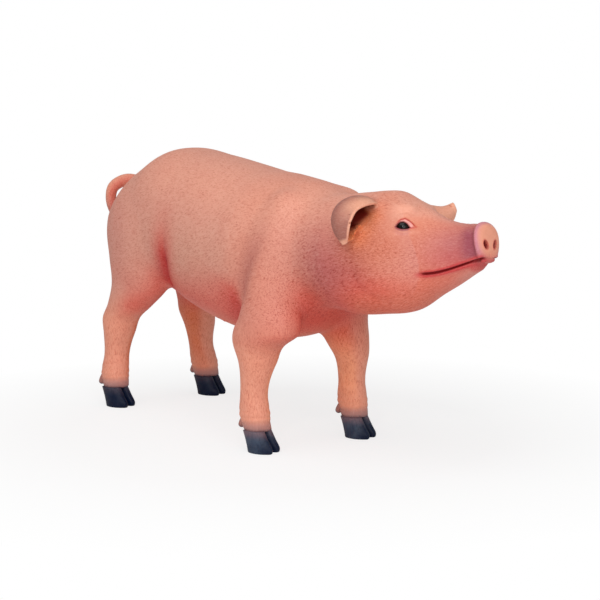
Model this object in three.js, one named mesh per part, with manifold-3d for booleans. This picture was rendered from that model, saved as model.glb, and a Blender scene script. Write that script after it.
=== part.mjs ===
// A life-size young pig standing square, head turned a little to its left and raised: painted cast resin.
// Millimetres, +Z up, +X to the snout, +Y to the pig's left. One smooth body is built as a field of rounded
// sections, skinned, and cut into its named pieces; ears, tail, claws and eyes are lofts of their own.
import * as THREE from "three";
import Module from "manifold-3d";

const { Manifold, Mesh } = await Module().then((m) => (m.setup(), m));

// ---------- driving sizes
const CENTRE = [132.82, 13.23]; // from the middle of the four feet to the middle of the whole pig
const GAP = 0.3; // between neighbouring pieces
const HOOF_X = 250; // feet, ahead of and behind the middle of the stance
const HOOF_Y = 106; // feet, to each side
const SOLE_TOP = 36; // height of a main claw
const LEAN = { left: [14, 240], right: [4, 175] }; // how far the shanks lean to the right, and at what height
const TRUNK = [
  // x, back, belly, half width
  [-300, 429, 325, 87], [-240, 471, 275, 107], [-160, 507, 244, 120], [-60, 502, 212, 127],
  [50, 490, 191, 132], [150, 478, 184, 130], [230, 469, 192, 118], [300, 459, 222, 94],
];
const HIND_LEG = [
  // height, rear edge, front edge, inner edge, outer edge
  [36, -36, 9, 80, 131], [50, -45, 9, 78, 131], [65, -50, 9, 76, 131], [100, -46, 2, 72, 123],
  [140, -46, 10, 62, 123], [172, -53, 26, 54, 122], [200, -49, 66, 46, 119], [240, -47, 116, 36, 118],
  [290, -56, 144, 28, 123], [350, -64, 138, 24, 124], [420, -50, 100, 22, 110], [470, -20, 60, 22, 88],
];
const FORE_LEG = [
  [36, -37, 9, 81, 131], [50, -49, 9, 82, 132], [65, -55, 9, 81, 133], [100, -52, 3, 83, 130],
  [140, -51, 11, 76, 131], [166, -56, 19, 65, 134], [194, -73, 26, 56, 141], [212, -74, 32, 48, 143],
  [234, -60, 34, 42, 143], [258, -51, 34, 36, 142], [300, -44, 46, 31, 139], [360, -32, 62, 30, 130],
  [430, -20, 60, 30, 106],
];
const FOREARM = { left: -10, right: 44 }; // how much further ahead the top of each foreleg reaches
const HEAD_AT = [392, -2, 306]; // poll, at the height of the mouth
const HEAD_YAW = 20, HEAD_PITCH = 12, HEAD_ROLL = 6; // degrees: to the left, raised, left side lower
const HEAD = [
  // forward, top, bottom, half width, share narrowed upwards
  [-30, 132, -38, 80, 0.1], [10, 136, -52, 82, 0.12], [45, 141, -59, 82, 0.15], [80, 145, -63, 76, 0.18],
  [110, 139, -60, 66, 0.2], [150, 108, -44, 52, 0.22], [190, 80, -30, 40, 0.2], [225, 68, -16, 35, 0.05],
  [258, 66, -5, 33, -0.2],
];
const DISC = { at: 255, half: 11, width: 36, height: 33, middle: 30.5, side: -3, tilt: 0.06 };
const MOUTH = [ // forward, height
  [138, -6], [155, -6.5], [175, -7], [195, -5], [215, -1.5], [237, 2.5], [275, 8],
];
const SNOUT_FROM = 206; // where the snout piece begins
const NECK_FROM = 319, NECK_TO = 14; // x of the shoulder cut; the poll cut, along the head
const NECK = { from: [180, 0, 341], to: [385, 0, 359], radii: [120, 92] };
const EYE = { at: [123.4, 38.7, 75.2], radius: 14 }; // ahead, aside, up
const BROW = { at: [104, 33, 102], radii: [40, 18, 15] }; // a rounded swelling over each eye
const EAR_LINE = { // root to tip along the back of each ear, in the head
  left: [[70, 45, 118], [86, 81, 122], [98, 104, 117], [111, 117, 113], [125, 126, 119]],
  right: [[66, -40, 122], [58, -70, 131], [42, -100, 124], [37, -117, 102], [42, -118, 80], [52, -112, 60]],
};
const EAR_CUP = { left: [-0.24, 0.33, -0.88], right: [0.81, 0.11, -0.58] }; // the way each hollow faces
const EAR_REACH = { left: 0.8, right: 1 };
const EAR_SHEET = [
  // share of the line, radius of the hollow, reach of its near and far walls
  [0, 8, 19, 22], [0.2, 14, 42, 46], [0.4, 20, 50, 54], [0.6, 22, 54, 55], [0.8, 18, 46, 47],
  [0.94, 12, 32, 30], [1, 9, 19, 17],
];
const EAR_BEND = [1.65, 1.4]; // radians that the near and the far wall turn before they run straight
const EAR_THICK = { root: 4.8, tip: 3.6, rim: 0.8 }; // half thickness, and the share of it left at the rim
const TAIL_LINE = [
  [-290, 0, 416], [-324, -12, 430], [-345, -32, 434], [-358, -52, 421], [-359, -58, 397], [-348, -58, 373],
  [-332, -54, 352],
];
const TAIL_RADIUS = [[0, 16], [0.3, 13.5], [0.55, 12], [0.8, 10], [1, 6]];
const CLAW = {
  apart: 12.4, // from the middle of the foot to the middle of each claw
  half: 12.8,
  turn: 22, // degrees to the left
  levels: [
    // height, shift forward, half length, share of the width
    [0, 2, 24, 0.93], [8, 2, 24.8, 0.99], [22, -4, 22.2, 0.99], [35.7, -10.3, 20.6, 0.98],
  ],
};
const DEW = { back: -36, apart: 15, height: 52, fall: 48, length: 17, radii: [7.8, 4.8] }; // fall in degrees
const LEG_CUT = {
  // where the round top of each leg piece is cut out of the barrel
  fore: { middle: 232, half: 86, shoulder: 262, rise: 112, inner: 32 },
  hind: { middle: -236, half: 138, shoulder: 296, rise: 116, inner: 28 },
};
const LEG_TOP = { fore: 370, hind: 360 }; // where the leg's own section fades out inside the barrel
const TAIL_SPLIT = 0.5; // share of the tail's length in its root piece

// ---------- curves and fields
const clamp = (v, lo, hi) => Math.min(hi, Math.max(lo, v));
const radians = THREE.MathUtils.degToRad;
const ease = (t) => clamp(t, 0, 1) ** 2 * (3 - 2 * clamp(t, 0, 1));

// Smooth curve through the stations of a table, held level past its ends.
function along(table, x, column) {
  const n = table.length;
  let i = 0;
  while (i < n - 2 && x > table[i + 1][0]) i++;
  const slope = (k) => {
    const a = table[Math.max(k - 1, 0)], b = table[Math.min(k + 1, n - 1)];
    return (b[column] - a[column]) / (b[0] - a[0]);
  };
  const a = table[i], b = table[i + 1], h = b[0] - a[0];
  const s = clamp((x - a[0]) / h, 0, 1), q = s * s, c = q * s;
  return (2 * c - 3 * q + 1) * a[column] + (c - 2 * q + s) * h * slope(i)
    + (3 * q - 2 * c) * b[column] + (c - q) * h * slope(i + 1);
}

function blend(a, b, width) {
  const h = clamp(0.5 + (0.5 * (b - a)) / width, 0, 1);
  return b + (a - b) * h - width * h * (1 - h);
}

// Distance to a rounded-square section; cap is how far past an end, as a share of the end's length.
function section(y, z, w, h, cap, power) {
  const Y = Math.abs(y) / w, Z = Math.abs(z) / h;
  const r = (Y ** power + Z ** power + cap ** power) ** (1 / power) + 1e-9;
  const e = power - 1;
  return (r - 1) / Math.hypot((Y / r) ** e / w, (Z / r) ** e / h, (cap / r) ** e / (0.5 * (w + h)), 1e-6);
}

function egg(p, at, radii) {
  const q = p.map((v, i) => (v - at[i]) / radii[i]);
  const r = Math.hypot(...q) + 1e-9;
  return ((r - 1) * r) / (Math.hypot(...q.map((v, i) => v / radii[i])) + 1e-9);
}

function cone(p, { from, to, radii }) {
  const run = to.map((v, i) => v - from[i]), gone = p.map((v, i) => v - from[i]);
  const dot = (a, b) => a.reduce((s, v, i) => s + v * b[i], 0);
  const t = clamp(dot(gone, run) / dot(run, run), 0, 1);
  return Math.hypot(...gone.map((v, i) => v - t * run[i])) - (radii[0] + (radii[1] - radii[0]) * t);
}

const headAxes = (() => {
  const [yaw, pitch, roll] = [HEAD_YAW, HEAD_PITCH, HEAD_ROLL].map(radians);
  const level = Math.cos(pitch);
  const forward = new THREE.Vector3(Math.cos(yaw) * level, Math.sin(yaw) * level, Math.sin(pitch));
  const side = new THREE.Vector3(-Math.sin(yaw), Math.cos(yaw), 0);
  const up = forward.clone().cross(side);
  return [
    forward,
    side.clone().multiplyScalar(Math.cos(roll)).addScaledVector(up, -Math.sin(roll)),
    up.clone().multiplyScalar(Math.cos(roll)).addScaledVector(side, Math.sin(roll)),
  ];
})();
function inHead(p) {
  const q = p.map((v, i) => v - HEAD_AT[i]);
  return headAxes.map((a) => a.x * q[0] + a.y * q[1] + a.z * q[2]);
}
function outOfHead(q) {
  return HEAD_AT.map((v, i) => v + headAxes.reduce((s, a, k) => s + a.getComponent(i) * q[k], 0));
}

function trunk([x, y, z]) {
  const top = along(TRUNK, x, 1), belly = along(TRUNK, x, 2);
  const cap = Math.max(0, -240 - x) / 84 + Math.max(0, x - 240) / 90;
  return section(y, z - (top + belly) / 2, along(TRUNK, x, 3), (top - belly) / 2, cap, 2.25);
}

function leg([x, y, z], table, hoofX, side, top) {
  const name = side > 0 ? "left" : "right";
  const [lean, level] = LEAN[name];
  const out = (y + lean * Math.exp(-(((z - level) / 65) ** 2))) * side;
  const [rear, foremost, inner, outer] = [1, 2, 3, 4].map((c) => along(table, z, c));
  const reach = table === FORE_LEG ? FOREARM[name] * Math.exp(-(((z - 216) / (z < 216 ? 25 : 90)) ** 2)) : 0;
  const front = foremost + reach;
  const cap = Math.max(0, z - top) / 80 + Math.max(0, 34 - z) / 10;
  const length = front - rear, width = outer - inner;
  return section(x - hoofX - rear - length / 2, out - inner - width / 2, length / 2, width / 2, cap, 2.1);
}

function head(p) {
  const [u, v, w] = inHead(p);
  const top = along(HEAD, u, 1), bottom = along(HEAD, u, 2), mid = (top + bottom) / 2;
  const half = along(HEAD, u, 3) * (1 - along(HEAD, u, 4) * clamp(((w - mid) / (top - bottom)) * 2, -1, 1));
  const short = 19 * ease((9 - w) / 11); // the jaw stops short of the disc
  const cap = Math.max(0, u - 252 + short) / 9 + Math.max(0, -u) / 70;
  const skull = section(v, w - mid, half, (top - bottom) / 2, cap, 2.3);
  const level = w - DISC.middle;
  const depth = Math.abs(u - DISC.at - DISC.tilt * level) / DISC.half;
  const wide = DISC.width * (1 + 0.1 * clamp(level / DISC.height, -1, 1));
  const disc = section(v - DISC.side, level, wide, DISC.height, depth, 2.2);
  const brow = egg([u, Math.abs(v), w], BROW.at, BROW.radii);
  return blend(blend(skull, disc, 10), brow, 22);
}

function body(p) {
  let d = blend(blend(trunk(p), cone(p, NECK), 40), head(p), 40);
  for (const side of [1, -1]) {
    d = blend(d, leg(p, HIND_LEG, -HOOF_X, side, LEG_TOP.hind), 22);
    d = blend(d, leg(p, FORE_LEG, HOOF_X, side, LEG_TOP.fore), 22);
  }
  return d;
}

// ---------- solids
const solid = (points, triangles) => {
  const made = new Manifold(new Mesh({
    numProp: 3, vertProperties: new Float32Array(points.flat()), triVerts: new Uint32Array(triangles.flat()),
  }));
  return made.volume() > 0 ? made : solid(points, triangles.map(([a, b, c]) => [a, c, b]));
};

function slopeOf(field, p, h = 0.5) {
  return [0, 1, 2].map((i) => {
    const a = [...p], b = [...p];
    a[i] += h;
    b[i] -= h;
    return (field(a) - field(b)) / (2 * h);
  });
}

// Closed surface where the field is nought: a point in each crossed cell, then pulled onto the surface.
function skinOf(field, xs, ys, zs, grow = 0) {
  const size = [xs.length, ys.length, zs.length], axes = [xs, ys, zs];
  const at = (c) => (c[0] * size[1] + c[1]) * size[2] + c[2];
  const values = new Float64Array(size[0] * size[1] * size[2]);
  for (let i = 0; i < size[0]; i++)
    for (let j = 0; j < size[1]; j++)
      for (let k = 0; k < size[2]; k++) values[at([i, j, k])] = field([xs[i], ys[j], zs[k]]) - grow;
  const points = [], triangles = [], cells = new Map();
  const crossings = (c, visit) => {
    for (let axis = 0; axis < 3; axis++)
      for (let n = 0; n < 4; n++) {
        const a = [...c];
        a[(axis + 1) % 3] += n & 1;
        a[(axis + 2) % 3] += n >> 1;
        const b = [...a];
        b[axis] += 1;
        const va = values[at(a)], vb = values[at(b)];
        if (va < 0 !== vb < 0) visit(a, b, va / (va - vb));
      }
  };
  for (let i = 0; i < size[0] - 1; i++)
    for (let j = 0; j < size[1] - 1; j++)
      for (let k = 0; k < size[2] - 1; k++) {
        const sum = [0, 0, 0];
        let count = 0;
        crossings([i, j, k], (a, b, t) => {
          axes.forEach((axis, n) => (sum[n] += axis[a[n]] + t * (axis[b[n]] - axis[a[n]])));
          count++;
        });
        if (!count) continue;
        let p = sum.map((v) => v / count);
        const cell = [i, j, k].map((at, n) => {
          const low = axes[n][at], rim = 0.03 * (axes[n][at + 1] - low);
          return [low + rim, axes[n][at + 1] - rim];
        });
        for (let step = 0; step < 4; step++) {
          const g = slopeOf(field, p), f = field(p) - grow, m = g[0] ** 2 + g[1] ** 2 + g[2] ** 2 + 1e-9;
          const pull = clamp(f / m, -4, 4);
          p = p.map((v, n) => clamp(v - pull * g[n], cell[n][0], cell[n][1])); // never out of its cell
        }
        cells.set(at([i, j, k]), points.push(p) - 1);
      }
  const apart = (a, b) => Math.hypot(...points[a].map((v, n) => v - points[b][n]));
  for (let i = 0; i < size[0] - 1; i++)
    for (let j = 0; j < size[1] - 1; j++)
      for (let k = 0; k < size[2] - 1; k++)
        for (let axis = 0; axis < 3; axis++) {
          const a = [i, j, k], b = [...a];
          if (a.some((v, n) => n !== axis && v === 0)) continue;
          b[axis] += 1;
          const inA = values[at(a)] < 0, inB = values[at(b)] < 0;
          if (inA === inB) continue;
          const ring = [[0, 0], [-1, 0], [-1, -1], [0, -1]].map(([m, n]) => {
            const c = [...a];
            c[(axis + 1) % 3] += m;
            c[(axis + 2) % 3] += n;
            return cells.get(at(c));
          });
          const [p, q, r, s] = inA ? ring : ring.reverse();
          if (apart(p, r) < apart(q, s)) triangles.push([p, q, r], [p, r, s]);
          else triangles.push([p, q, s], [q, r, s]);
        }
  return solid(points, triangles);
}

// Solid through a run of closed loops of equal count; each end is laced across from side to side.
function loft(loops) {
  const n = loops[0].length, triangles = [];
  for (let i = 0; i + 1 < loops.length; i++)
    for (let j = 0; j < n; j++) {
      const a = i * n + j, b = i * n + ((j + 1) % n);
      triangles.push([a, b, a + n], [b, b + n, a + n]);
    }
  for (const [base, turned] of [[0, true], [(loops.length - 1) * n, false]])
    for (let lo = 0, hi = n - 1; hi - lo > 1; ) {
      const low = hi + lo === n - 1;
      const third = low ? lo + 1 : hi - 1;
      triangles.push(turned ? [base + lo, base + hi, base + third] : [base + hi, base + lo, base + third]);
      if (low) lo++;
      else hi--;
    }
  return solid(loops.flat(), triangles);
}

function spaced(from, to, count) {
  return Array.from({ length: count }, (_, i) => from + ((to - from) * i) / (count - 1));
}
const roundOf = (count) => spaced(0, 2 * Math.PI, count + 1).slice(1).map((a) => [Math.cos(a), Math.sin(a)]);
const largest = (s) => s.decompose().reduce((a, b) => (a.volume() > b.volume() ? a : b));

// Points and frames along a smooth line through the given points.
function track(line, count) {
  const table = line.map((p, i) => [i, ...p]);
  const points = spaced(0, line.length - 1, count).map((s) => [1, 2, 3].map((c) => along(table, s, c)));
  return points.map((p, i) => {
    const before = new THREE.Vector3(...points[Math.max(i - 1, 0)]);
    const ahead = new THREE.Vector3(...points[Math.min(i + 1, count - 1)]).sub(before).normalize();
    return { at: new THREE.Vector3(...p), ahead, share: i / (count - 1) };
  });
}

// Rows of numbers smoothed lengthways: each but the two ends moved half way to its neighbours' mean.
function evened(rows, passes) {
  for (let pass = 0; pass < passes; pass++)
    rows = rows.map((row, i) => {
      if (i === 0 || i === rows.length - 1) return row;
      return row.map((v, k) => 0.5 * v + 0.25 * (rows[i - 1][k] + rows[i + 1][k]));
    });
  return rows;
}

// A curved sheet carried along the ear's line and given thickness: across it, an arc of the hollow's radius
// that runs on straight once it has turned EAR_BEND.
function ear(side) {
  const name = side > 0 ? "left" : "right", fine = 61, step = 6;
  const frames = track(EAR_LINE[name], fine);
  const ways = evened(frames.map(({ ahead }) => ahead.toArray()), 40);
  const ts = spaced(-1, 1, 8);
  const sheet = evened(frames.map(({ at, share: s }, i) => {
    const ahead = new THREE.Vector3(...ways[i]).normalize();
    const cup = new THREE.Vector3(...EAR_CUP[name]);
    cup.addScaledVector(ahead, -0.8 * cup.dot(ahead)).normalize();
    const across = ahead.clone().cross(cup).normalize().multiplyScalar(side);
    const [radius, near, far] = [1, 2, 3].map((c) => along(EAR_SHEET, s, c));
    return ts.flatMap((t) => {
      const run = t * (t < 0 ? near : far) * EAR_REACH[name];
      const turn = clamp(run / radius, -EAR_BEND[0], EAR_BEND[1]), on = run - turn * radius;
      return at.clone()
        .addScaledVector(across, radius * Math.sin(turn) + on * Math.cos(turn))
        .addScaledVector(cup, radius * (1 - Math.cos(turn)) + on * Math.sin(turn)).toArray();
    });
  }), 70);
  const place = (i, j) => new THREE.Vector3(...sheet[clamp(i, 0, fine - 1)].slice(3 * j, 3 * j + 3));
  const last = ts.length - 1, loops = [];
  for (let i = 0; i < fine; i += step) {
    const s = i / (fine - 1), half = EAR_THICK.root + (EAR_THICK.tip - EAR_THICK.root) * s;
    const points = ts.map((t, j) => {
      const lengthways = place(i + 2, j).sub(place(i - 2, j));
      const crossways = place(i, Math.min(j + 1, last)).sub(place(i, Math.max(j - 1, 0))).normalize();
      const facing = crossways.clone().cross(lengthways).normalize();
      const thick = half * (1 - (1 - EAR_THICK.rim) * Math.abs(t) ** 3);
      return { at: place(i, j), crossways, facing, thick };
    });
    const moved = ({ at, facing, thick }, way) => at.clone().addScaledVector(facing, way * thick);
    const edge = ({ at, crossways, thick }, way) => at.clone().addScaledVector(crossways, way * thick);
    loops.push([
      ...points.map((q) => moved(q, 1)), edge(points[last], 1),
      ...points.toReversed().map((q) => moved(q, -1)), edge(points[0], -1),
    ]);
  }
  return loft(loops.map((loop) => loop.map((q) => outOfHead(q.toArray()))));
}

function tail(from, to, count, start, end) {
  const frames = track(TAIL_LINE, 17).filter(({ share }) => share >= from && share <= to);
  let up = new THREE.Vector3(0, 0, 1);
  const loops = frames.map(({ at, ahead, share }, i) => {
    const side = ahead.clone().cross(up).normalize();
    up = side.clone().cross(ahead);
    const shift = i === 0 ? start : i === frames.length - 1 ? end : 0;
    const radius = along(TAIL_RADIUS, share, 1), middle = at.clone().addScaledVector(ahead, shift);
    return roundOf(count).map(([c, s]) =>
      middle.clone().addScaledVector(side, radius * c).addScaledVector(up, radius * s).toArray());
  });
  return loft(loops);
}

// One main claw: flat towards its neighbour, pointed at the toe, level on the ground.
function claw(x, y, side, outward) {
  const turn = radians(CLAW.turn), cos = Math.cos(turn), sin = Math.sin(turn);
  return loft(CLAW.levels.map(([z, shift, length, wide]) => roundOf(12).map(([c, s]) => {
    const full = Math.sign(Math.round(s * 1e6)), size = Math.abs(s);
    const toe = c > 0 ? 1 - 0.55 * c * c : 1 - 0.2 * c * c;
    const outerWall = full * size ** 0.72 * toe;
    const innerWall = full * 0.86 * size ** 0.5 * (c > 0 ? 1 - 0.12 * c * c : toe);
    const ahead = shift + length * c;
    const wall = s * side * outward > 0 ? outerWall : innerWall;
    const aside = side * outward * CLAW.apart + CLAW.half * wide * wall;
    return [x + ahead * cos - aside * sin, y + ahead * sin + aside * cos, z];
  })));
}

function dewclaw(x, y, grow) {
  const top = [x + DEW.back, y, DEW.height], fall = radians(DEW.fall);
  const loops = spaced(0, 1, 3).map((s) => {
    const r = (DEW.radii[0] + (DEW.radii[1] - DEW.radii[0]) * s * s) * (s === 1 ? 0.75 : 1) + grow;
    const reach = -grow + (DEW.length + 2 * grow) * s;
    return roundOf(8).map(([c, t]) => [
      top[0] - reach * Math.cos(fall) + r * 0.9 * c * Math.sin(fall), top[1] + r * t,
      top[2] - reach * Math.sin(fall) - r * 0.9 * c * Math.cos(fall),
    ]);
  });
  return loft(loops);
}

function ball(at, radius) {
  const loops = spaced(-1, 1, 8).map((t) => {
    const a = (t * Math.PI) / 2 * 0.97;
    const wide = radius * Math.cos(a), high = radius * Math.sin(a);
    return roundOf(12).map(([c, s]) => [at[0] + wide * c, at[1] + wide * s, at[2] + high]);
  });
  return loft(loops);
}

// Outline in x and height, round at the top, carried sideways from near the middle plane past the flank.
function legCut({ middle, half, shoulder, rise, inner }, side, grow) {
  const wide = half + grow, high = rise + grow;
  const arch = spaced(0, Math.PI, 15)
    .map((a) => [middle + wide * Math.cos(a), shoulder + high * Math.sin(a)]);
  const outline = [[middle + wide, 10], ...arch, [middle - wide, 10]];
  return loft([inner - grow, 190].map((y) => outline.map(([x, z]) => [x, side * y, z])));
}

// Slab below the mouth, widened by a little for the piece it is cut out of.
function jawCut(grow) {
  const upper = MOUTH.map(([u, w]) => [u, w + grow]);
  const lower = MOUTH.map(([u]) => [u, -100]);
  upper[0][0] -= grow;
  lower[0][0] -= grow;
  const outline = [...upper, ...lower.toReversed()];
  return loft([-110, 110].map((v) => outline.map(([u, w]) => outOfHead([u, v, w]))));
}

// ---------- the pieces
const SIDES = [["left", 1], ["right", -1]];
const NECK_MARGIN = 24; // the rear and front halves are skinned apart, at their own fineness, and overlap
const rearOnly = (p) => Math.max(body(p), p[0] - NECK_FROM - NECK_MARGIN);
const frontOnly = (p) => Math.max(body(p), NECK_FROM - NECK_MARGIN - p[0]);
const rearGrid = [
  [...spaced(-362, -162, 10), ...spaced(-128, 120, 7), ...spaced(148, 352, 10)],
  spaced(-164, 164, 16), [...spaced(-6, 162, 8), ...spaced(184, 532, 15)],
];
const frontGrid = [
  [...spaced(280, 600, 17), ...spaced(612, 660, 5)], // finer at the disc
  [...spaced(-150, 30, 10), ...spaced(45, 135, 7), ...spaced(155, 195, 3)],
  [...spaced(168, 308, 8), ...spaced(324, 404, 6), ...spaced(424, 488, 4)],
];
const rear = skinOf(rearOnly, ...rearGrid), front = skinOf(frontOnly, ...frontGrid);
const clearRear = skinOf(rearOnly, ...rearGrid, GAP), clearFront = skinOf(frontOnly, ...frontGrid, GAP);
const pieces = new Map();

const headNormal = headAxes[0].toArray();
const headOffset = headNormal.reduce((s, v, i) => s + v * HEAD_AT[i], 0);
const cuts = [];
for (const [end, x] of [["fore", HOOF_X], ["hind", -HOOF_X]])
  for (const [name, side] of SIDES) {
    let piece = rear.intersect(legCut(LEG_CUT[end], side, 0)).trimByPlane([0, 0, 1], SOLE_TOP);
    cuts.push(legCut(LEG_CUT[end], side, GAP));
    for (const [toe, outward] of [["inner", -1], ["outer", 1]]) {
      const dewY = side * (HOOF_Y + outward * DEW.apart);
      pieces.set(`claw_${end}_${name}_${toe}`, claw(x, side * HOOF_Y, side, outward));
      pieces.set(`dewclaw_${end}_${name}_${toe}`, dewclaw(x, dewY, 0));
      piece = piece.subtract(dewclaw(x, dewY, GAP));
    }
    pieces.set(`leg_${end}_${name}`, largest(piece));
  }
const barrel = cuts.reduce((s, c) => s.subtract(c), rear);
pieces.set("trunk", largest(barrel.trimByPlane([-1, 0, 0], -(NECK_FROM - GAP))));
const backwards = headNormal.map((v) => -v);
const neck = front.trimByPlane([1, 0, 0], NECK_FROM).trimByPlane(backwards, -(headOffset + NECK_TO - GAP));
pieces.set("neck", largest(neck));
let skull = front.trimByPlane(headNormal, headOffset + NECK_TO);
pieces.set("lower_jaw", largest(skull.intersect(jawCut(0))));
skull = skull.subtract(jawCut(GAP));
pieces.set("snout", largest(skull.trimByPlane(headNormal, headOffset + SNOUT_FROM)));
skull = skull.trimByPlane(backwards, -(headOffset + SNOUT_FROM - GAP));
for (const [name, side] of SIDES) {
  const at = outOfHead([EYE.at[0], side * EYE.at[1], EYE.at[2]]);
  pieces.set(`eye_${name}`, ball(at, EYE.radius));
  skull = skull.subtract(ball(at, EYE.radius + GAP));
  pieces.set(`ear_${name}`, largest(ear(side).subtract(clearFront)));
}
pieces.set("head", largest(skull));
pieces.set("tail_root", largest(tail(0, TAIL_SPLIT, 10, 0, -GAP).subtract(clearRear)));
pieces.set("tail_tip", tail(TAIL_SPLIT, 1, 10, 0, 0));

// ---------- the group
const paint = {
  skin: new THREE.MeshStandardMaterial({ color: 0xe29a84, roughness: 0.5 }),
  claw: new THREE.MeshStandardMaterial({ color: 0x3a4656, roughness: 0.45 }),
  eye: new THREE.MeshStandardMaterial({ color: 0x100c0c, roughness: 0.08 }),
};
const pig = new THREE.Group();
pig.name = "pig";
for (const [name, made] of pieces) {
  const { vertProperties, triVerts } = made.getMesh();
  const geometry = new THREE.BufferGeometry();
  geometry.setAttribute("position", new THREE.BufferAttribute(new Float32Array(vertProperties), 3));
  geometry.setIndex(new THREE.BufferAttribute(new Uint32Array(triVerts), 1));
  geometry.translate(-CENTRE[0], -CENTRE[1], 0);
  geometry.computeVertexNormals();
  const finish = /^eye/.test(name) ? paint.eye : /claw/.test(name) ? paint.claw : paint.skin;
  const mesh = new THREE.Mesh(geometry, finish);
  mesh.name = name;
  pig.add(mesh);
}

export default pig;
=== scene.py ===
"""A life-size painted resin pig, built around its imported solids: one carved and airbrushed skin with fine
hair cut into it, glossy eyes, slate hooves and dewclaws, and the studio that they stand in."""
import itertools
import math

import bpy
import numpy as np
from bpy.props import FloatProperty, FloatVectorProperty, PointerProperty
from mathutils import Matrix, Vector


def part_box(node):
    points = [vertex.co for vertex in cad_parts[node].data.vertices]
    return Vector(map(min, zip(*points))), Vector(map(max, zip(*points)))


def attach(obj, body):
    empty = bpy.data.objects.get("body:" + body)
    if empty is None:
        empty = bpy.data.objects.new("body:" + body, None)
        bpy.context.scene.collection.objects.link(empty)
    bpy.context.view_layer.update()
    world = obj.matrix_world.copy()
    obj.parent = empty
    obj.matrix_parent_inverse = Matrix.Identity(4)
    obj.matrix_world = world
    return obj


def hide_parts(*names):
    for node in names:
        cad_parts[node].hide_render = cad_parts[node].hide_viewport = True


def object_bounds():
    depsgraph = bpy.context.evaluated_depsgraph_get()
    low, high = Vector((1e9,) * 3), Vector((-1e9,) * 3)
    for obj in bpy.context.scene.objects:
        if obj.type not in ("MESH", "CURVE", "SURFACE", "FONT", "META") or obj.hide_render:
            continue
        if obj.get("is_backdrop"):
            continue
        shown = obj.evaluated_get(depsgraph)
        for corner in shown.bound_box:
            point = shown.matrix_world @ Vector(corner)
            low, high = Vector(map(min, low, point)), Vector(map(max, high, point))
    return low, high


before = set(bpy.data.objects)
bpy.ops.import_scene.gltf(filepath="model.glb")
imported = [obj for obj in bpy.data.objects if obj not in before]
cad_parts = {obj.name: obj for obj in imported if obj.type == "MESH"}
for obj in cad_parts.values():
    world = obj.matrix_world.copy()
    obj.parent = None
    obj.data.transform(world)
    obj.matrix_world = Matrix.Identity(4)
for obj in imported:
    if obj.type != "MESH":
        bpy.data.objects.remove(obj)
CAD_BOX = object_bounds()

bl_info = {
    "name": "Painted Resin Pig",
    "version": (1, 0, 0),
    "blender": (4, 5, 0),
    "location": "View3D > Sidebar > Pig",
    "description": "Carved and painted skin, eyes, hooves and dewclaws for a life-size resin pig",
    "category": "Add Mesh",
}

BODY = "root"
SIDES = (1, -1)  # the pig's left, the pig's right
SIDE_NAMES = {1: "left", -1: "right"}
ENDS = {"fore": 1, "hind": -1}
TOES = {"inner": -1, "outer": 1}

# ---------- the pig's form: millimetres from the middle of its four feet, +X ahead, +Y to its left, +Z up
HOOF_X = 250.0  # feet, ahead of and behind the middle of the stance
HOOF_Y = 106.0  # feet, to each side
SOLE_TOP = 36.0  # height of a main claw
LEAN = {1: (14.0, 240.0), -1: (4.0, 175.0)}  # how far the shanks lean to the right, and at what height
TRUNK = (  # x, back, belly, half width
    (-300, 429, 325, 87), (-240, 471, 275, 107), (-160, 507, 244, 120), (-60, 502, 212, 127),
    (50, 490, 191, 132), (150, 478, 184, 130), (230, 469, 192, 118), (300, 459, 222, 94),
)
LEGS = {  # height, rear edge, front edge, inner edge, outer edge
    "hind": (
        (36, -36, 9, 80, 131), (50, -45, 9, 78, 131), (65, -50, 9, 76, 131), (100, -46, 2, 72, 123),
        (140, -46, 10, 62, 123), (172, -53, 26, 54, 122), (200, -49, 66, 46, 119), (240, -47, 116, 36, 118),
        (290, -56, 144, 28, 123), (350, -64, 138, 24, 124), (420, -50, 100, 22, 110), (470, -20, 60, 22, 88),
    ),
    "fore": (
        (36, -37, 9, 81, 131), (50, -49, 9, 82, 132), (65, -55, 9, 81, 133), (100, -52, 3, 83, 130),
        (140, -51, 11, 76, 131), (166, -56, 19, 65, 134), (194, -73, 26, 56, 141), (212, -74, 32, 48, 143),
        (234, -60, 34, 42, 143), (258, -51, 34, 36, 142), (300, -44, 46, 31, 139), (360, -32, 62, 30, 130),
        (430, -20, 60, 30, 106),
    ),
}
LEG_TOP = {"fore": 370.0, "hind": 360.0}  # where the leg's own section fades out inside the barrel
FOREARM = {1: -10.0, -1: 44.0}  # how much further ahead the top of each foreleg reaches, into the breast
HEAD_AT = np.array((392.0, -2.0, 306.0))  # poll, at the height of the mouth
HEAD_TURN = np.radians((20.0, 12.0, 6.0))  # to the left, raised, left side lower
HEAD = (  # forward, top, bottom, half width, share narrowed upwards
    (-30, 132, -38, 80, 0.1), (10, 136, -52, 82, 0.12), (45, 141, -59, 82, 0.15), (80, 145, -63, 76, 0.18),
    (110, 139, -60, 66, 0.2), (150, 108, -44, 52, 0.22), (190, 80, -30, 40, 0.2), (225, 68, -16, 35, 0.05),
    (258, 66, -5, 33, -0.2),
)
NECK = ((180, 0, 341), (385, 0, 359), 120, 92)  # from, to, and the radius at each
DISC = {"at": 255.0, "half": 11.0, "width": 36.0, "height": 33.0, "middle": 30.5, "side": -3.0, "tilt": 0.06}
NOSTRIL = {"apart": 13.8, "side": -6.6, "height": 27.0, "wide": 5.8, "high": 7.0, "deep": 13.0, "lean": 0.28}
BROW = ((104, 33, 102), (40, 18, 15))  # a rounded swelling over each eye: place and radii
EYE_AT = (123.4, 38.7, 75.2)  # ahead, aside, up
EYE_RADIUS = 13.8
LID_RADIUS = 17.4
EYE_LOOK = np.array((  # the eye's own ways, in the head
    (0.443, 0.865, 0.233),  # out
    (0.897, -0.427, -0.115),  # ahead
    (0.0, -0.26, 0.965),  # up
))
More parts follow.
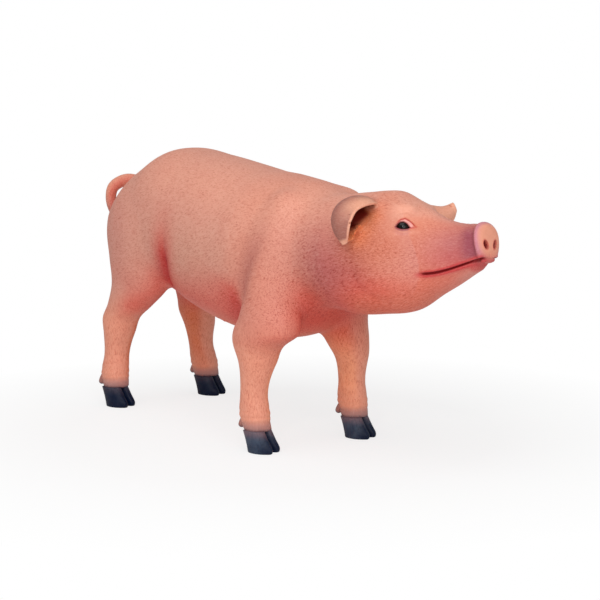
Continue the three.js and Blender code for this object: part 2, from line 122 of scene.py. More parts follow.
EYE_SLIT = {"half": 12.6, "drop": -2.6, "slope": -0.08, "upper": 8.8, "lower": 4.8}
MOUTH = ((138, -6), (155, -6.5), (175, -7), (195, -5), (215, -1.5), (237, 2.5), (275, 8))  # forward, height
EAR_LINE = {  # root to tip along the back of each ear, in the head
    1: ((70, 45, 118), (86, 81, 122), (98, 104, 117), (111, 117, 113), (125, 126, 119)),
    -1: ((66, -40, 122), (58, -70, 131), (42, -100, 124), (37, -117, 102), (42, -118, 80), (52, -112, 60)),
}
EAR_CUP = {1: (-0.24, 0.33, -0.88), -1: (0.81, 0.11, -0.58)}  # the way each hollow faces
EAR_REACH = {1: 0.8, -1: 1.0}
EAR_SHEET = (  # share of the line, radius of the hollow, reach of its near and far walls
    (0, 8, 19, 22), (0.2, 14, 42, 46), (0.4, 20, 50, 54), (0.6, 22, 54, 55), (0.8, 18, 46, 47),
    (0.94, 12, 32, 30), (1, 9, 19, 17),
)
EAR_BEND = (1.65, 1.4)  # radians that the near and the far wall turn before they run straight
EAR_THICK = {"root": 4.2, "tip": 2.9, "rim": 0.8}  # half thickness, and the share of it left at the rim
EAR_BALL = 95.0  # each ear lies within this distance of its middle
TAIL_LINE = (
    (-290, 0, 416), (-324, -12, 430), (-345, -32, 434), (-358, -52, 421), (-359, -58, 397), (-348, -58, 373),
    (-332, -54, 352),
)
TAIL_RADIUS = ((0, 16), (0.3, 13.5), (0.55, 12), (0.8, 10), (1, 6))  # share of the line, radius
CLAW = {"apart": 12.4, "half": 12.8, "turn": math.radians(22)}  # aside, half width, turn to the left
CLAW_LEVELS = (  # height, shift forward, half length, share of the width
    (0, 2, 22.8, 0.86), (1.5, 2.2, 24, 0.93), (8, 2, 24.8, 0.99), (22, -4, 22.2, 0.99),
    (39, -11.5, 20.2, 0.97),
)
DEW = {"back": -36.0, "apart": 15.0, "height": 52.0, "fall": math.radians(48), "length": 17.0,
       "radii": (7.8, 4.8)}


# ---------- curves
def smooth(stations, count=401):
    """Smooth curves through stations of (place, values...): cubic Hermite pieces, the slope at each station
    being that between its neighbours, returned as closely spaced samples for straight interpolation."""
    table = np.array(stations, float)
    x, v = table[:, 0], table[:, 1:]
    slope = np.empty_like(v)
    slope[1:-1] = (v[2:] - v[:-2]) / (x[2:] - x[:-2])[:, None]
    slope[0] = (v[1] - v[0]) / (x[1] - x[0])
    slope[-1] = (v[-1] - v[-2]) / (x[-1] - x[-2])
    at = np.linspace(x[0], x[-1], count)
    i = np.clip(np.searchsorted(x, at) - 1, 0, len(x) - 2)
    h = (x[i + 1] - x[i])[:, None]
    s = (at - x[i])[:, None] / h
    values = ((2 * s**3 - 3 * s**2 + 1) * v[i] + (s**3 - 2 * s**2 + s) * h * slope[i]
              + (3 * s**2 - 2 * s**3) * v[i + 1] + (s**3 - s**2) * h * slope[i + 1])
    return at, values.T


def read(curve, x):
    """The curve's values at x, held level past its ends."""
    return [np.interp(x, curve[0], v) for v in curve[1]]


def through(points, count):
    """A smooth path through points, as count points evenly spaced in the points' own numbering."""
    path = smooth([(i, *p) for i, p in enumerate(points)])
    return np.stack(read(path, np.linspace(0, len(points) - 1, count)), 1)


def ease(x, low, high):
    """0 up to low, 1 from high, and the cubic 3t^2 - 2t^3 between them; low may be the greater."""
    t = np.clip((x - low) / (high - low), 0, 1)
    return t * t * (3 - 2 * t)


def bell(x, width):
    """exp(-(x / width)^2)"""
    return np.exp(-((x / width) ** 2))


def blob(p, at, radii):
    """exp of minus the squared distance from a point, in radii along the three axes."""
    return np.exp(-(((p - np.array(at, float)) / np.array(radii, float)) ** 2).sum(1))


def near_path(p, path):
    """Distance to a polyline, and the share of the way along it, for each point."""
    best = np.full(len(p), np.inf)
    share = np.zeros(len(p))
    for k, (a, b) in enumerate(zip(path[:-1], path[1:])):
        run = b - a
        t = np.clip(((p - a) @ run) / (run @ run), 0, 1)
        d = np.linalg.norm(p - a - t[:, None] * run, axis=1)
        share = np.where(d < best, (k + t) / (len(path) - 1), share)
        best = np.minimum(best, d)
    return best, share


def from_side(p, at, radii):
    """The same as blob in the side view, whatever the place across: at and radii are ahead and up."""
    return bell((p[:, 0] - at[0]) / radii[0], 1) * bell((p[:, 2] - at[1]) / radii[1], 1)


def unit(v):
    """Vectors over their lengths."""
    return v / np.maximum(np.linalg.norm(v, axis=-1, keepdims=True), 1e-9)


# ---------- the pig's form as fields: below nought inside
TRUNK_CURVE = smooth(TRUNK, 1201)
LEG_CURVE = {end: smooth(table, 881) for end, table in LEGS.items()}
HEAD_CURVE = smooth(HEAD, 801)
MOUTH_CURVE = smooth(MOUTH)


def blend(a, b, width):
    """Union of two fields, rounded where they differ by less than width: the lower of the two less
    width * h * (1 - h), with h the share of the first."""
    h = np.clip(0.5 + 0.5 * (b - a) / width, 0, 1)
    return b + (a - b) * h - width * h * (1 - h)


def section(y, z, w, h, cap, power):
    """Distance to the rounded-square section |y/w|^n + |z/h|^n + cap^n = 1, by its value over its slope."""
    y, z = np.abs(y) / w, np.abs(z) / h
    r = (y**power + z**power + cap**power) ** (1 / power) + 1e-9
    e = power - 1
    return (r - 1) / np.sqrt(((y / r) ** e / w) ** 2 + ((z / r) ** e / h) ** 2
                             + ((cap / r) ** e / (0.5 * (w + h))) ** 2 + 1e-12)


def egg(p, at, radii):
    """Distance to an ellipsoid, by its value over its slope."""
    q = (p - np.array(at, float)) / np.array(radii, float)
    r = np.linalg.norm(q, axis=1) + 1e-9
    return (r - 1) * r / (np.linalg.norm(q / np.array(radii, float), axis=1) + 1e-9)


def head_axes():
    """Forward, left and up of the head: turned left, raised, then rolled about the snout's line."""
    yaw, pitch, roll = HEAD_TURN
    forward = np.array((math.cos(yaw) * math.cos(pitch), math.sin(yaw) * math.cos(pitch), math.sin(pitch)))
    side = np.array((-math.sin(yaw), math.cos(yaw), 0))
    up = np.cross(forward, side)
    return np.stack([forward, side * math.cos(roll) - up * math.sin(roll),
                     up * math.cos(roll) + side * math.sin(roll)])


HEAD_AXES = head_axes()


def in_head(p):
    """Places in the head's own axes."""
    return (p - HEAD_AT) @ HEAD_AXES.T


def out_of_head(q):
    """The reverse of in_head."""
    return np.asarray(q) @ HEAD_AXES + HEAD_AT


def trunk_field(p):
    """Rounded-square sections between back and belly, closed by a round cap at rump and chest."""
    x, y, z = p.T
    back, belly, half = read(TRUNK_CURVE, x)
    cap = np.maximum(0, -240 - x) / 84 + np.maximum(0, x - 240) / 90
    return section(y, z - (back + belly) / 2, half, (back - belly) / 2, cap, 2.25)


def neck_field(p):
    """A cone between two balls."""
    a, b, ra, rb = NECK
    a, run = np.array(a, float), np.array(b, float) - np.array(a, float)
    t = np.clip(((p - a) @ run) / (run @ run), 0, 1)
    return np.linalg.norm(p - a - t[:, None] * run, axis=1) - (ra + (rb - ra) * t)


def leg_field(p, end, side):
    """Rounded sections from the claws' top into the barrel, leaning over and, in front, reaching into the
    breast."""
    x, y, z = p.T
    amount, level = LEAN[side]
    out = (y + amount * bell(z - level, 65)) * side
    rear, front, inner, outer = read(LEG_CURVE[end], z)
    if end == "fore":
        front = front + FOREARM[side] * bell(z - 216, np.where(z < 216, 25, 90))
    cap = np.maximum(0, z - LEG_TOP[end]) / 80
    d = section(x - ENDS[end] * HOOF_X - (rear + front) / 2, out - (inner + outer) / 2,
                (front - rear) / 2, (outer - inner) / 2, cap, 2.1)
    return -blend(-d, z - SOLE_TOP + 0.4, 1.6)


def head_field(p):
    """Rounded sections from poll to snout, narrower upwards, with the disc, brows and eyeballs blended on.
    The jaw stops short of the disc."""
    u, v, w = in_head(p).T
    top, bottom, half, narrow = read(HEAD_CURVE, u)
    middle = (top + bottom) / 2
    half = half * (1 - narrow * np.clip((w - middle) / (top - bottom) * 2, -1, 1))
    short = 19 * ease(w, 9, -2)
    cap = np.maximum(0, u - 252 + short) / 9 + np.maximum(0, -u) / 70
    d = section(v, w - middle, half, (top - bottom) / 2, cap, 2.3)
    level = w - DISC["middle"]
    depth = np.abs(u - DISC["at"] - DISC["tilt"] * level) / DISC["half"]
    wide = DISC["width"] * (1 + 0.1 * np.clip(level / DISC["height"], -1, 1))
    d = blend(d, section(v - DISC["side"], level, wide, DISC["height"], depth, 2.2), 10)
    mirrored = np.stack([u, np.abs(v), w], 1)
    d = blend(d, egg(mirrored, *BROW), 22)
    return blend(d, np.linalg.norm(mirrored - EYE_AT, axis=1) - LID_RADIUS, 5)


def evened(rows, passes):
    """Rows smoothed lengthways: each but the two ends moved half way to the mean of its neighbours, again
    and again."""
    for _ in range(passes):
        rows = np.concatenate([rows[:1], 0.5 * rows[1:-1] + 0.25 * (rows[:-2] + rows[2:]), rows[-1:]])
    return rows


class Ear:
    """A curved sheet carried along the ear's line: across it, an arc of the hollow's radius that runs on
    straight once it has turned EAR_BEND. s runs from root to tip; t from -1, the near wall's edge, to 1."""

    def __init__(self, side, rows=61, columns=49):
        self.size = np.array((rows - 1, columns - 1))
        line = through(EAR_LINE[side], rows)
        s, t = np.linspace(0, 1, rows), np.linspace(-1, 1, columns)
        ahead = unit(evened(np.gradient(line, axis=0), 40))
        cup = np.array(EAR_CUP[side])
        cup = unit(cup - 0.8 * (ahead @ cup)[:, None] * ahead)
        across = unit(np.cross(ahead, cup)) * side
        radius, near, far = (v[:, None] for v in read(smooth(EAR_SHEET), s))
        run = t * np.where(t < 0, near, far) * EAR_REACH[side]
        turn = np.clip(run / radius, -EAR_BEND[0], EAR_BEND[1])
        on = run - turn * radius
        aside = radius * np.sin(turn) + on * np.cos(turn)
        rise = radius * (1 - np.cos(turn)) + on * np.sin(turn)
        sheet = line[:, None] + aside[..., None] * across[:, None] + rise[..., None] * cup[:, None]
        sheet = evened(sheet, 70)
        self.points = out_of_head(sheet)
        self.middle = self.points.reshape(-1, 3).mean(0)
        self.along_s, self.along_t = np.gradient(self.points, axis=(0, 1))
        self.facing = unit(np.cross(self.along_t, self.along_s)) * side

    def nearest(self, p):
        """Row and column of the closest place on the sheet: the best of a coarse set, then four
        least-squares steps along the sheet's two slopes, or along one where the other leads off the edge."""
        coarse = np.stack(np.meshgrid(np.arange(0, self.size[0] + 1, 2), np.arange(0, self.size[1] + 1, 3),
                                      indexing="ij"), -1).reshape(-1, 2)
        spots = self.points[tuple(coarse.T)]
        size = (spots**2).sum(1)
        place = np.concatenate([coarse[(size - 2 * part @ spots.T).argmin(1)]
                                for part in np.array_split(p, len(p) // 20000 + 1)]).astype(float)
        for _ in range(4):
            gap = p - self.at(self.points, place)
            ds, dt = self.at(self.along_s, place), self.at(self.along_t, place)
            ss, tt, st = (ds * ds).sum(1), (dt * dt).sum(1), (ds * dt).sum(1)
            gs, gt = (gap * ds).sum(1), (gap * dt).sum(1)
            area = np.maximum(ss * tt - st * st, 1e-6)
            step = np.stack([gs * tt - gt * st, gt * ss - gs * st], 1) / area[:, None]
            beyond = (place + step < 0) | (place + step > self.size)
            step = np.where(beyond[:, ::-1], np.stack([gs / ss, gt / tt], 1), step)
            place = np.clip(place + np.clip(step, -4, 4), 0, self.size)
        return place

    def at(self, grid, place):
        """The grid's value at a fractional row and column, straight between its neighbours."""
        i = np.minimum(place.astype(int), self.size - 1)
        f = (place - i)[:, :, None]
        a, b = grid[i[:, 0], i[:, 1]], grid[i[:, 0] + 1, i[:, 1]]
        c, d = grid[i[:, 0], i[:, 1] + 1], grid[i[:, 0] + 1, i[:, 1] + 1]
        return (a * (1 - f[:, 0]) + b * f[:, 0]) * (1 - f[:, 1]) + (c * (1 - f[:, 0]) + d * f[:, 0]) * f[:, 1]

    def read(self, p):
        """s, t, the sheet's place and the way its hollow side faces there, for each point."""
        place = self.nearest(p)
        return (place[:, 0] / self.size[0], place[:, 1] / self.size[1] * 2 - 1, self.at(self.points, place),
                unit(self.at(self.facing, place)))

    def close_to(self, p, distance=EAR_BALL):
        """Which points lie within a distance of the ear's middle."""
        return np.linalg.norm(p - self.middle, axis=1) < distance

    def field(self, p, grow):
        """Distance to the sheet less its half thickness, which thins to the tip and to the rim."""
        near = self.close_to(p)
        d = np.full(len(p), 40.0)
        if near.any():
            s, t, on_sheet, _ = self.read(p[near])
            half = EAR_THICK["root"] + (EAR_THICK["tip"] - EAR_THICK["root"]) * s
            half = half * (1 - (1 - EAR_THICK["rim"]) * np.abs(t) ** 3) + grow
            d[near] = np.linalg.norm(p[near] - on_sheet, axis=1) - half
        return d


EARS = {side: Ear(side) for side in SIDES}
TAIL_PATH = through(TAIL_LINE, 61)
TAIL_CURVE = smooth(TAIL_RADIUS)


def tail_field(p):
    """Distance to the tail's path less its radius there."""
    near = (p[:, 0] < -250) & (p[:, 2] > 320)
    d = np.full(len(p), 60.0)
    distance, share = near_path(p[near], TAIL_PATH)
    d[near] = distance - read(TAIL_CURVE, share)[0]
    return d


def flesh(p, inset, grow=0.0):
    """The whole smooth body: its parts joined with rounded corners, pared by the depth of its coat."""
    d = blend(blend(trunk_field(p), neck_field(p), 40), head_field(p), 40)
    for side in SIDES:
        for end in ENDS:
            d = blend(d, leg_field(p, end, side), 22)
        d = blend(d, EARS[side].field(p, grow), 9)
    return blend(d, tail_field(p), 9) + inset


# ---------- meshes from fields
def net(field, low, high, step):
    """Closed quads around a field's zero level: one point in each crossed cell of a lattice, at the mean of
    the places where the field crosses the cell's edges, joined around every crossed edge."""
    axes = [np.arange(a, b + step, step) for a, b in zip(low, high)]
    shape = [len(a) for a in axes]
    lattice = np.stack(np.meshgrid(*axes, indexing="ij"), -1).reshape(-1, 3)
    value = np.concatenate([field(part) for part in np.array_split(lattice, 12)]).reshape(shape)
    inside = value < 0
    corners = list(itertools.product((0, 1), repeat=3))
    count = sum(inside[tuple(slice(k, n - 1 + k) for k, n in zip(c, shape))].astype(int) for c in corners)
    crossed = (count > 0) & (count < 8)
    cells = np.argwhere(crossed)
    number = np.full(crossed.shape, -1)
    number[crossed] = np.arange(len(cells))
    total, hits = np.zeros((len(cells), 3)), np.zeros(len(cells))
    for corner, axis in itertools.product(corners, range(3)):
        if corner[axis]:
            continue
        far = np.array(corner)
        far[axis] = 1
        a, b = value[tuple((cells + corner).T)], value[tuple((cells + far).T)]
        cut = (a < 0) != (b < 0)
        place = np.tile(np.array(corner, float), (len(cells), 1))
        place[:, axis] = a / np.where(cut, a - b, 1)
        total[cut] += place[cut]
        hits += cut
    points = np.array(low, float) + step * (cells + total / hits[:, None])
    quads = []
    for axis in range(3):
        change = np.diff(inside, axis=axis)
        edge = np.argwhere(change)
        ring = []
        for i, j in ((-1, -1), (0, -1), (0, 0), (-1, 0)):
            cell = edge.copy()
            cell[:, (axis + 1) % 3] += i
            cell[:, (axis + 2) % 3] += j
            ring.append(number[tuple(cell.T)])
        ring = np.stack(ring, 1)
        inward = ~inside[tuple(edge.T)]
        ring[inward] = ring[inward][:, ::-1]
        quads.append(ring)
    quads = np.concatenate(quads)
    return points, np.concatenate([quads[:, :3], quads[:, [0, 2, 3]]])


def slope_of(field, p, h=0.4):
    """The field's value and slope from four places around each point, at a tetrahedron's corners."""
    value, slope = 0.0, np.zeros_like(p)
    for corner in ((1, -1, -1), (-1, -1, 1), (-1, 1, -1), (1, 1, 1)):
        f = field(p + h * np.array(corner))
        value = value + f / 4
        slope += f[:, None] * np.array(corner) / (4 * h)
    return value, slope


def settle(field, p, passes, reach=4.0):
    """Newton steps onto the zero level, each no longer than reach."""
    for _ in range(passes):
        value, slope = slope_of(field, p)
        step = value[:, None] * slope / np.maximum((slope**2).sum(1), 1e-6)[:, None]
        length = np.linalg.norm(step, axis=1, keepdims=True)
        p = p - step * np.minimum(1, reach / np.maximum(length, 1e-9))
    return p


def relaxed(p, faces, share):
    """Each point moved a share of the way to the mean of its neighbours."""
    a, b = faces.ravel(), np.roll(faces, -1, 1).ravel()
    count = np.bincount(a, minlength=len(p)) + np.bincount(b, minlength=len(p))
    mean = np.stack([np.bincount(a, p[b, i], len(p)) + np.bincount(b, p[a, i], len(p)) for i in range(3)], 1)
    return p + share * (mean / np.maximum(count, 1)[:, None] - p)


def refined(p, faces, longest):
    """Halves every edge longer than longest(its middle), and cuts its faces in two, three or four to fit."""
    pairs = np.sort(np.concatenate([faces[:, [0, 1]], faces[:, [1, 2]], faces[:, [2, 0]]]), 1)
    edges, back = np.unique(pairs, axis=0, return_inverse=True)
    middle = p[edges].mean(1)
    long = np.linalg.norm(p[edges[:, 0]] - p[edges[:, 1]], axis=1) > longest(middle)
    new = np.full(len(edges), -1)
    new[long] = len(p) + np.arange(long.sum())
    cut = new[back.ravel()].reshape(3, -1).T
    count = (cut >= 0).sum(1)
    first = np.where(count == 1, (cut >= 0).argmax(1), (np.where(count == 2, (cut < 0).argmax(1), 2) + 1) % 3)
    turn = (first[:, None] + np.arange(3)) % 3
    f, c = np.take_along_axis(faces, turn, 1), np.take_along_axis(cut, turn, 1)
    one, two, three = (count == k for k in (1, 2, 3))

    def made(rows, *corners):
        return np.stack([x[rows, k] for x, k in corners], 1)

    parts = [
        f[count == 0],
        made(one, (f, 0), (c, 0), (f, 2)), made(one, (c, 0), (f, 1), (f, 2)),
        made(two, (c, 0), (f, 1), (c, 1)), made(two, (f, 0), (c, 0), (c, 1)),
        made(two, (f, 0), (c, 1), (f, 2)),
        made(three, (f, 0), (c, 0), (c, 2)), made(three, (c, 0), (f, 1), (c, 1)),
        made(three, (c, 2), (c, 1), (f, 2)), made(three, (c, 0), (c, 1), (c, 2)),
    ]
    return np.concatenate([p, middle[long]]), np.concatenate(parts)


# ---------- carved detail of the face and body
def on_both(points):
    """A smooth path for each side of the pig, through points given for its left."""
    return {side: through([(x, side * y, z) for x, y, z in points], 24) for side in SIDES}


GROIN = on_both(((-46, 128, 385), (-50, 123, 335), (-62, 116, 297), (-84, 96, 262)))
ARMPIT = on_both(((222, 137, 305), (212, 132, 272), (196, 120, 243), (180, 92, 212)))
BREAST = on_both(((374, 92, 320), (346, 76, 280), (320, 60, 246), (302, 44, 220), (286, 30, 200)))
SHOULDER = on_both(((266, 93, 434), (268, 116, 395), (258, 128, 362), (240, 136, 326), (226, 137, 290)))
JOWL = on_both(((44, 96, 46), (45, 91, 12), (50, 80, -18), (66, 68, -34), (90, 52, -45)))  # in the head
EAR_MOUTH = through(((88, -60, 112), (78, -75, 92), (62, -88, 68)), 8)  # the head beside the right hollow
LEG_FOLDS = ((GROIN, 5.5, 9.0), (GROIN, 4.5, 30.0), (ARMPIT, 6.0, 11.0), (BREAST, 5.0, 13.0),
             (SHOULDER, 4.5, 22.0))  # path, depth, width
SWELLINGS = (  # place on the left, radii, rise
    ((-175, 118, 335), (60, 60, 75), 3.0),  # thigh
    ((312, 108, 392), (36, 60, 50), 2.6),  # point of the shoulder
    ((190, 128, 380), (40, 60, 60), 1.6),  # shoulder blade
    ((-100, 112, 452), (40, 60, 28), 2.0),  # hip
    ((270, 128, 300), (36, 50, 46), 2.4),  # upper arm
    ((20, 130, 330), (90, 60, 70), 1.2),  # ribs
    ((90, 80, 212), (4.5, 4.5, 6), 4.0),  # teat
)
BROW_FURROWS = ((17.5, 0.75), (23.5, 0.7), (29.5, 0.5))  # height over the eye, depth
SNOUT_FOLDS = (228, 218, 207)  # forward
NECK_FOLDS = (0, 19, 36)  # behind the ears
SHANK_CREASES = ((74, 0.9, 4.0), (62, 0.9, 3.0), (52, 0.6, 2.6))  # height, depth, width
LID_CREASE = ((-12, -9, -4, 4, 11, 15, 21, 25), (1.5, 5, 9, 11.2, 8, 4.5, -2.0, -3.5))  # ahead, up
BAG_CREASE = ((-14, 0, 14), (-11, -16.5, -12))  # ahead, up


def eye_place(q):
    """For each point in the head: ahead of, above and out from the eye on its own side."""
    mirrored = q * np.array((1, 0, 1)) + np.abs(q) * np.array((0, 1, 0)) - np.array(EYE_AT)
    out, ahead, up = EYE_LOOK @ mirrored.T
    return ahead, up, out


def eye_slit(ahead):
    """Heights of the upper and lower lid's edges: a sloped line plus or less an arc (1 - x^2)^0.8."""
    s = EYE_SLIT
    arc = np.maximum(0, 1 - (ahead / s["half"]) ** 2) ** 0.8
    line = s["drop"] + s["slope"] * ahead
    return line + s["upper"] * arc, line - s["lower"] * arc


def face_marks(q):
    """Masks of the face's features, 0 to 1, from places in the head."""
    u, v, w = q.T
    ahead, up, out = eye_place(q)
    upper, lower = eye_slit(ahead)
    by_eye = ease(out, 2, 7) * ease(np.hypot(ahead, up), 40, 30)
    crease = np.interp(ahead, *LID_CREASE)
    gap = w - read(MOUTH_CURVE, u)[0]
    beside = v - NOSTRIL["side"]
    above = w - NOSTRIL["height"]
    hole = np.hypot((np.abs(beside) - NOSTRIL["apart"] - NOSTRIL["lean"] * above) / NOSTRIL["wide"],
                    above / NOSTRIL["high"])
    on_disc = ease(u, 259, 262)
    along_mouth = ease(u, 149, 160) * ease(u, 262, 256)
    behind_disc = bell(u - 243 - DISC["tilt"] * (w - DISC["middle"]), 7)
    return {
        "slit": np.maximum(np.maximum(up - upper, lower - up), np.abs(ahead) - EYE_SLIT["half"] - 0.3),
        "by_eye": by_eye, "out": out, "ahead": ahead, "up": up,
        "lid_upper": by_eye * ease(up - upper, -1.2, 0.2) * ease(up - crease, 0.5, -1.5)
        * ease(np.abs(ahead - 2), 17, 12),
        "lid_crease": by_eye * bell(up - crease, 1.5) * ease(ahead, -14, -6) * ease(ahead, 27, 18),
        "lid_lower": by_eye * ease(lower - up, -0.6, 0.4) * ease(lower - up, 4.2, 1.8)
        * ease(np.abs(ahead), 15, 10),
        "lid_bag": by_eye * bell(up - lower + 7.5, 3.2) * ease(np.abs(ahead), 17, 8),
        "duct": by_eye * bell(up - (-4.6 + 0.02 * ahead), 1.3) * ease(ahead, 9, 12) * ease(ahead, 26, 15),
        "gap": gap, "along_mouth": along_mouth,
        "mouth": along_mouth * ease(np.abs(gap), 2.4 + 0.9 * ease(u, 215, 175), 1.2),
        "corner": blob(np.stack([u, gap, gap * 0], 1), (153, -1, 0), (10, 5, 9)) * (w < 30),
        "lip_upper": along_mouth * bell(gap - 3.4, 2.6),
        "lip_lower": along_mouth * bell(gap + 3.6, 3.0),
        "hole": hole, "nostril": ease(u, 244, 250) * ease(hole, 1.1, 0.95),
        "rim": on_disc * bell(hole - 1.12, 0.22),
        "disc": ease(u, 250, 256) * ease(w, -1, 3), "face": on_disc,
        "behind_disc": behind_disc * ease(w, 0, 8),
    }


def carved_face(q):
    """Depth carved in or raised on the head in millimetres: lids and their slit, mouth and lips, nostrils,
    the crease behind the disc, and the furrows of brow and snout."""
    u, v, w = q.T
    m = face_marks(q)
    # eyes: the slit sinks behind the eyeball, the lids keep a rolled edge under a crease
    d = -6.5 * m["by_eye"] * ease(m["slit"], 0.45, -0.35)
    d -= 1.7 * m["lid_crease"] + 1.3 * m["duct"] - 0.5 * m["lid_bag"]
    below_bag = m["by_eye"] * bell(m["up"] - np.interp(m["ahead"], *BAG_CREASE), 2.2)
    d -= 0.8 * below_bag * ease(np.abs(m["ahead"]), 17, 8)
    for rise, depth in BROW_FURROWS:
        furrow = bell(m["up"] - rise + 0.018 * (m["ahead"] - 4) ** 2, 1.8)
        d -= depth * furrow * ease(np.abs(m["ahead"] - 6), 20, 8) * ease(m["out"], -4, 2)
    # mouth: a narrow groove between two lips, wider towards the snout
    d -= 3.6 * m["along_mouth"] * bell(m["gap"], 1.3 + 0.5 * ease(u, 215, 175))
    d += 1.0 * m["lip_upper"] + 1.3 * m["lip_lower"] - 1.4 * m["corner"]
    # disc: rolled rim, slightly hollow face, nostrils, and a crease behind it
    from_middle = np.hypot((v - DISC["side"]) / DISC["width"], (w - DISC["middle"]) / DISC["height"])
    d -= 1.3 * m["behind_disc"] + m["face"] * ease(from_middle, 0.86, 0.5)
    d -= 0.9 * m["face"] * bell(v - NOSTRIL["side"], 1.6) * ease(w, 20, 8)
    d += 0.5 * m["rim"]
    d -= NOSTRIL["deep"] * m["face"] * np.sqrt(np.clip(1 - m["hole"] ** 4, 0, 1))
    folds = sum(bell(u - at - 0.02 * (v + 3) ** 2, 2.6) for at in SNOUT_FOLDS)
    d -= 0.45 * folds * ease(w, 40, 62)
    return np.where(u > 60, d, 0)


def carved(p, q):
    """Depth carved in or raised from the smooth body in millimetres, out of the surface: the face, the folds
    of legs, neck and jowl, the muscles' swellings, the rump's cleft, and the creases of the shanks."""
    x, y, z = p.T
    d = carved_face(q)
    for side in SIDES:
        for path, depth, wide in LEG_FOLDS:
            away, share = near_path(p, path[side])
            d -= depth * bell(away, wide) * (0.1 + 0.9 * ease(share, 0, 0.7))
        for at, radii, rise in SWELLINGS:
            d += rise * blob(p, (at[0], side * at[1], at[2]), radii)
        for back in NECK_FOLDS:
            fold = bell(q[:, 0] + 30 + back - 0.004 * (q[:, 2] - 20) ** 2, 5.0)
            d -= 1.1 * fold * blob(q, (-40 - back, side * 95, 15), (60, 45, 48))
        away, share = near_path(q, JOWL[side])
        d -= 2.6 * bell(away, 9) * np.sin(np.pi * np.clip(share, 0.03, 0.97)) ** 0.5
    cleft = ease(x, -300, -322) * ease(z, 412, 398) * ease(z, 236, 300)
    d -= 9.0 * cleft * bell(y, 9) + 3.0 * blob(p, (-331, 0, 386), (26, 7, 9))
    shank = ease(z, 205, 190)
    for sign in ENDS.values():
        ahead = x - sign * HOOF_X
        for level, depth, wide in SHANK_CREASES:
            d -= depth * shank * bell(z - level - 0.12 * ahead, wide) * (x * sign > 0)
        d += 2.2 * shank * from_side(p, (sign * HOOF_X + 4, 152), (30, 20))
        d += 1.6 * shank * from_side(p, (sign * HOOF_X - 40, 172), (18, 18))
    return d


def edge_length(body, head, detail):
    """The longest edge wanted at each place: short at eyes, mouth, nostrils and ears, long on the barrel."""
    def longest(p):
        q = in_head(p)
        m = face_marks(q)
        length = np.full(len(p), body)
        length = np.where(p[:, 2] < 200, body * 0.8, length)
        length = np.where(p[:, 2] < 66, body * 0.42, length)
        length = np.where((p[:, 0] < -300) & (p[:, 2] > 340), head * 1.2, length)
        length = np.where(q[:, 0] > -10, head, length)
        for ear in EARS.values():
            near = ear.close_to(p, 90)
            on_sheet = ear.read(p[near])[2]
            by_ear = np.full(len(p), False)
            by_ear[near] = np.linalg.norm(p[near] - on_sheet, axis=1) < 7
            length = np.where(by_ear, head * 0.6, length)
        by_eye = (np.hypot(m["ahead"] - 3, m["up"] - 1) < 24) & (m["out"] > 2)
        by_mouth = (q[:, 0] > 144) & (np.abs(m["gap"]) < 7)
        length = np.where((q[:, 0] > 236) | by_eye | by_mouth, detail * 1.7, length)
        at_eye = (m["by_eye"] > 0.5) & ((np.abs(m["slit"]) < 2.2) | (m["lid_crease"] > 0.2))
        at_mouth = (q[:, 0] > 146) & (np.abs(m["gap"]) < 3.4)
        at_nose = (q[:, 0] > 256) & (m["hole"] < 1.5)
        return np.where(at_eye | at_mouth | at_nose, detail, length)
    return longest


# ---------- paint
def linear(colour):
    """A colour as it looks on screen, from 0 to 255, as the light it stands for."""
    c = np.array(colour, float) / 255
    return np.where(c <= 0.04045, c / 12.92, ((c + 0.055) / 1.055) ** 2.4)


PAINTS = {
    "flesh": ((226, 158, 138), "The main airbrushed flesh"),
    # back: a lighter, warmer paint laid where the surface faces up, a painted highlight
    "back": ((234, 162, 138), "The warm upper side of back and head"),
    # flank: a cooler, darker paint for flank and belly side, painted shade
    "flank": ((214, 156, 134), "The cooler flank and belly side"),
    "leg": ((236, 156, 128), "The outer side of the legs"),
    "inner_leg": ((250, 166, 124), "The peach inner side of the forelegs"),
    # inner_thigh: the orange inner side of the hind legs, partly painted shade between the legs
    "inner_thigh": ((224, 120, 72), "The orange inner side of the hind legs"),
    # blush: soft red; in the folds and underneath it is partly painted shade
    "blush": ((218, 80, 66), "Soft red around folds"),
    # fold: the deep red in folds, partly painted shade
    "fold": ((184, 22, 24), "The deep red in folds"),
    "throat": ((216, 88, 70), "Chest, throat and jowl"),
    "mauve": ((196, 112, 108), "The cool pink of the snout's sides"),
    "mauve_deep": ((194, 86, 86), "The deeper pink beside the mouth"),
    # neck: dark pink behind the ears, partly painted shade there, behind the shoulders and on the tail
    "neck": ((170, 78, 80), "The dark pink of the neck behind the ears"),
    "plum": ((142, 62, 86), "Behind the snout's disc"),
    "disc": ((255, 172, 140), "The snout's disc"),
    "disc_rim": ((206, 130, 146), "The rim of the disc"),
    # brow: pale paint over the eyes, partly a painted highlight
    "brow": ((248, 176, 148), "The pale skin over the eyes"),
    "cheek": ((206, 112, 82), "The orange cheek"),
    "lid": ((246, 172, 166), "The lids"),
    "dark_red": ((126, 0, 8), "Slits, nostrils and the mouth's line"),
    "lip": ((198, 48, 56), "The lips"),
    "ear_back": ((146, 90, 80), "The grey-mauve back of the ears"),
    "ear_top": ((244, 176, 146), "The pale top of the ears"),
    # ear_deep: dark red inside the ears, partly painted shade in the hollow
    "ear_deep": ((104, 4, 2), "Deep inside the ears"),
    "ear_gold": ((238, 134, 82), "The golden lower inside of the ears"),
    "slate": ((60, 72, 92), "The hooves"),
    "ink": ((0, 14, 44), "The dark front of the hooves"),
    "coronet": ((158, 118, 118), "Between skin and hoof"),
    "hoof_top": ((96, 76, 88), "The skin's lowest edge"),
    "dewclaw": ((176, 116, 104), "The dewclaws"),
}
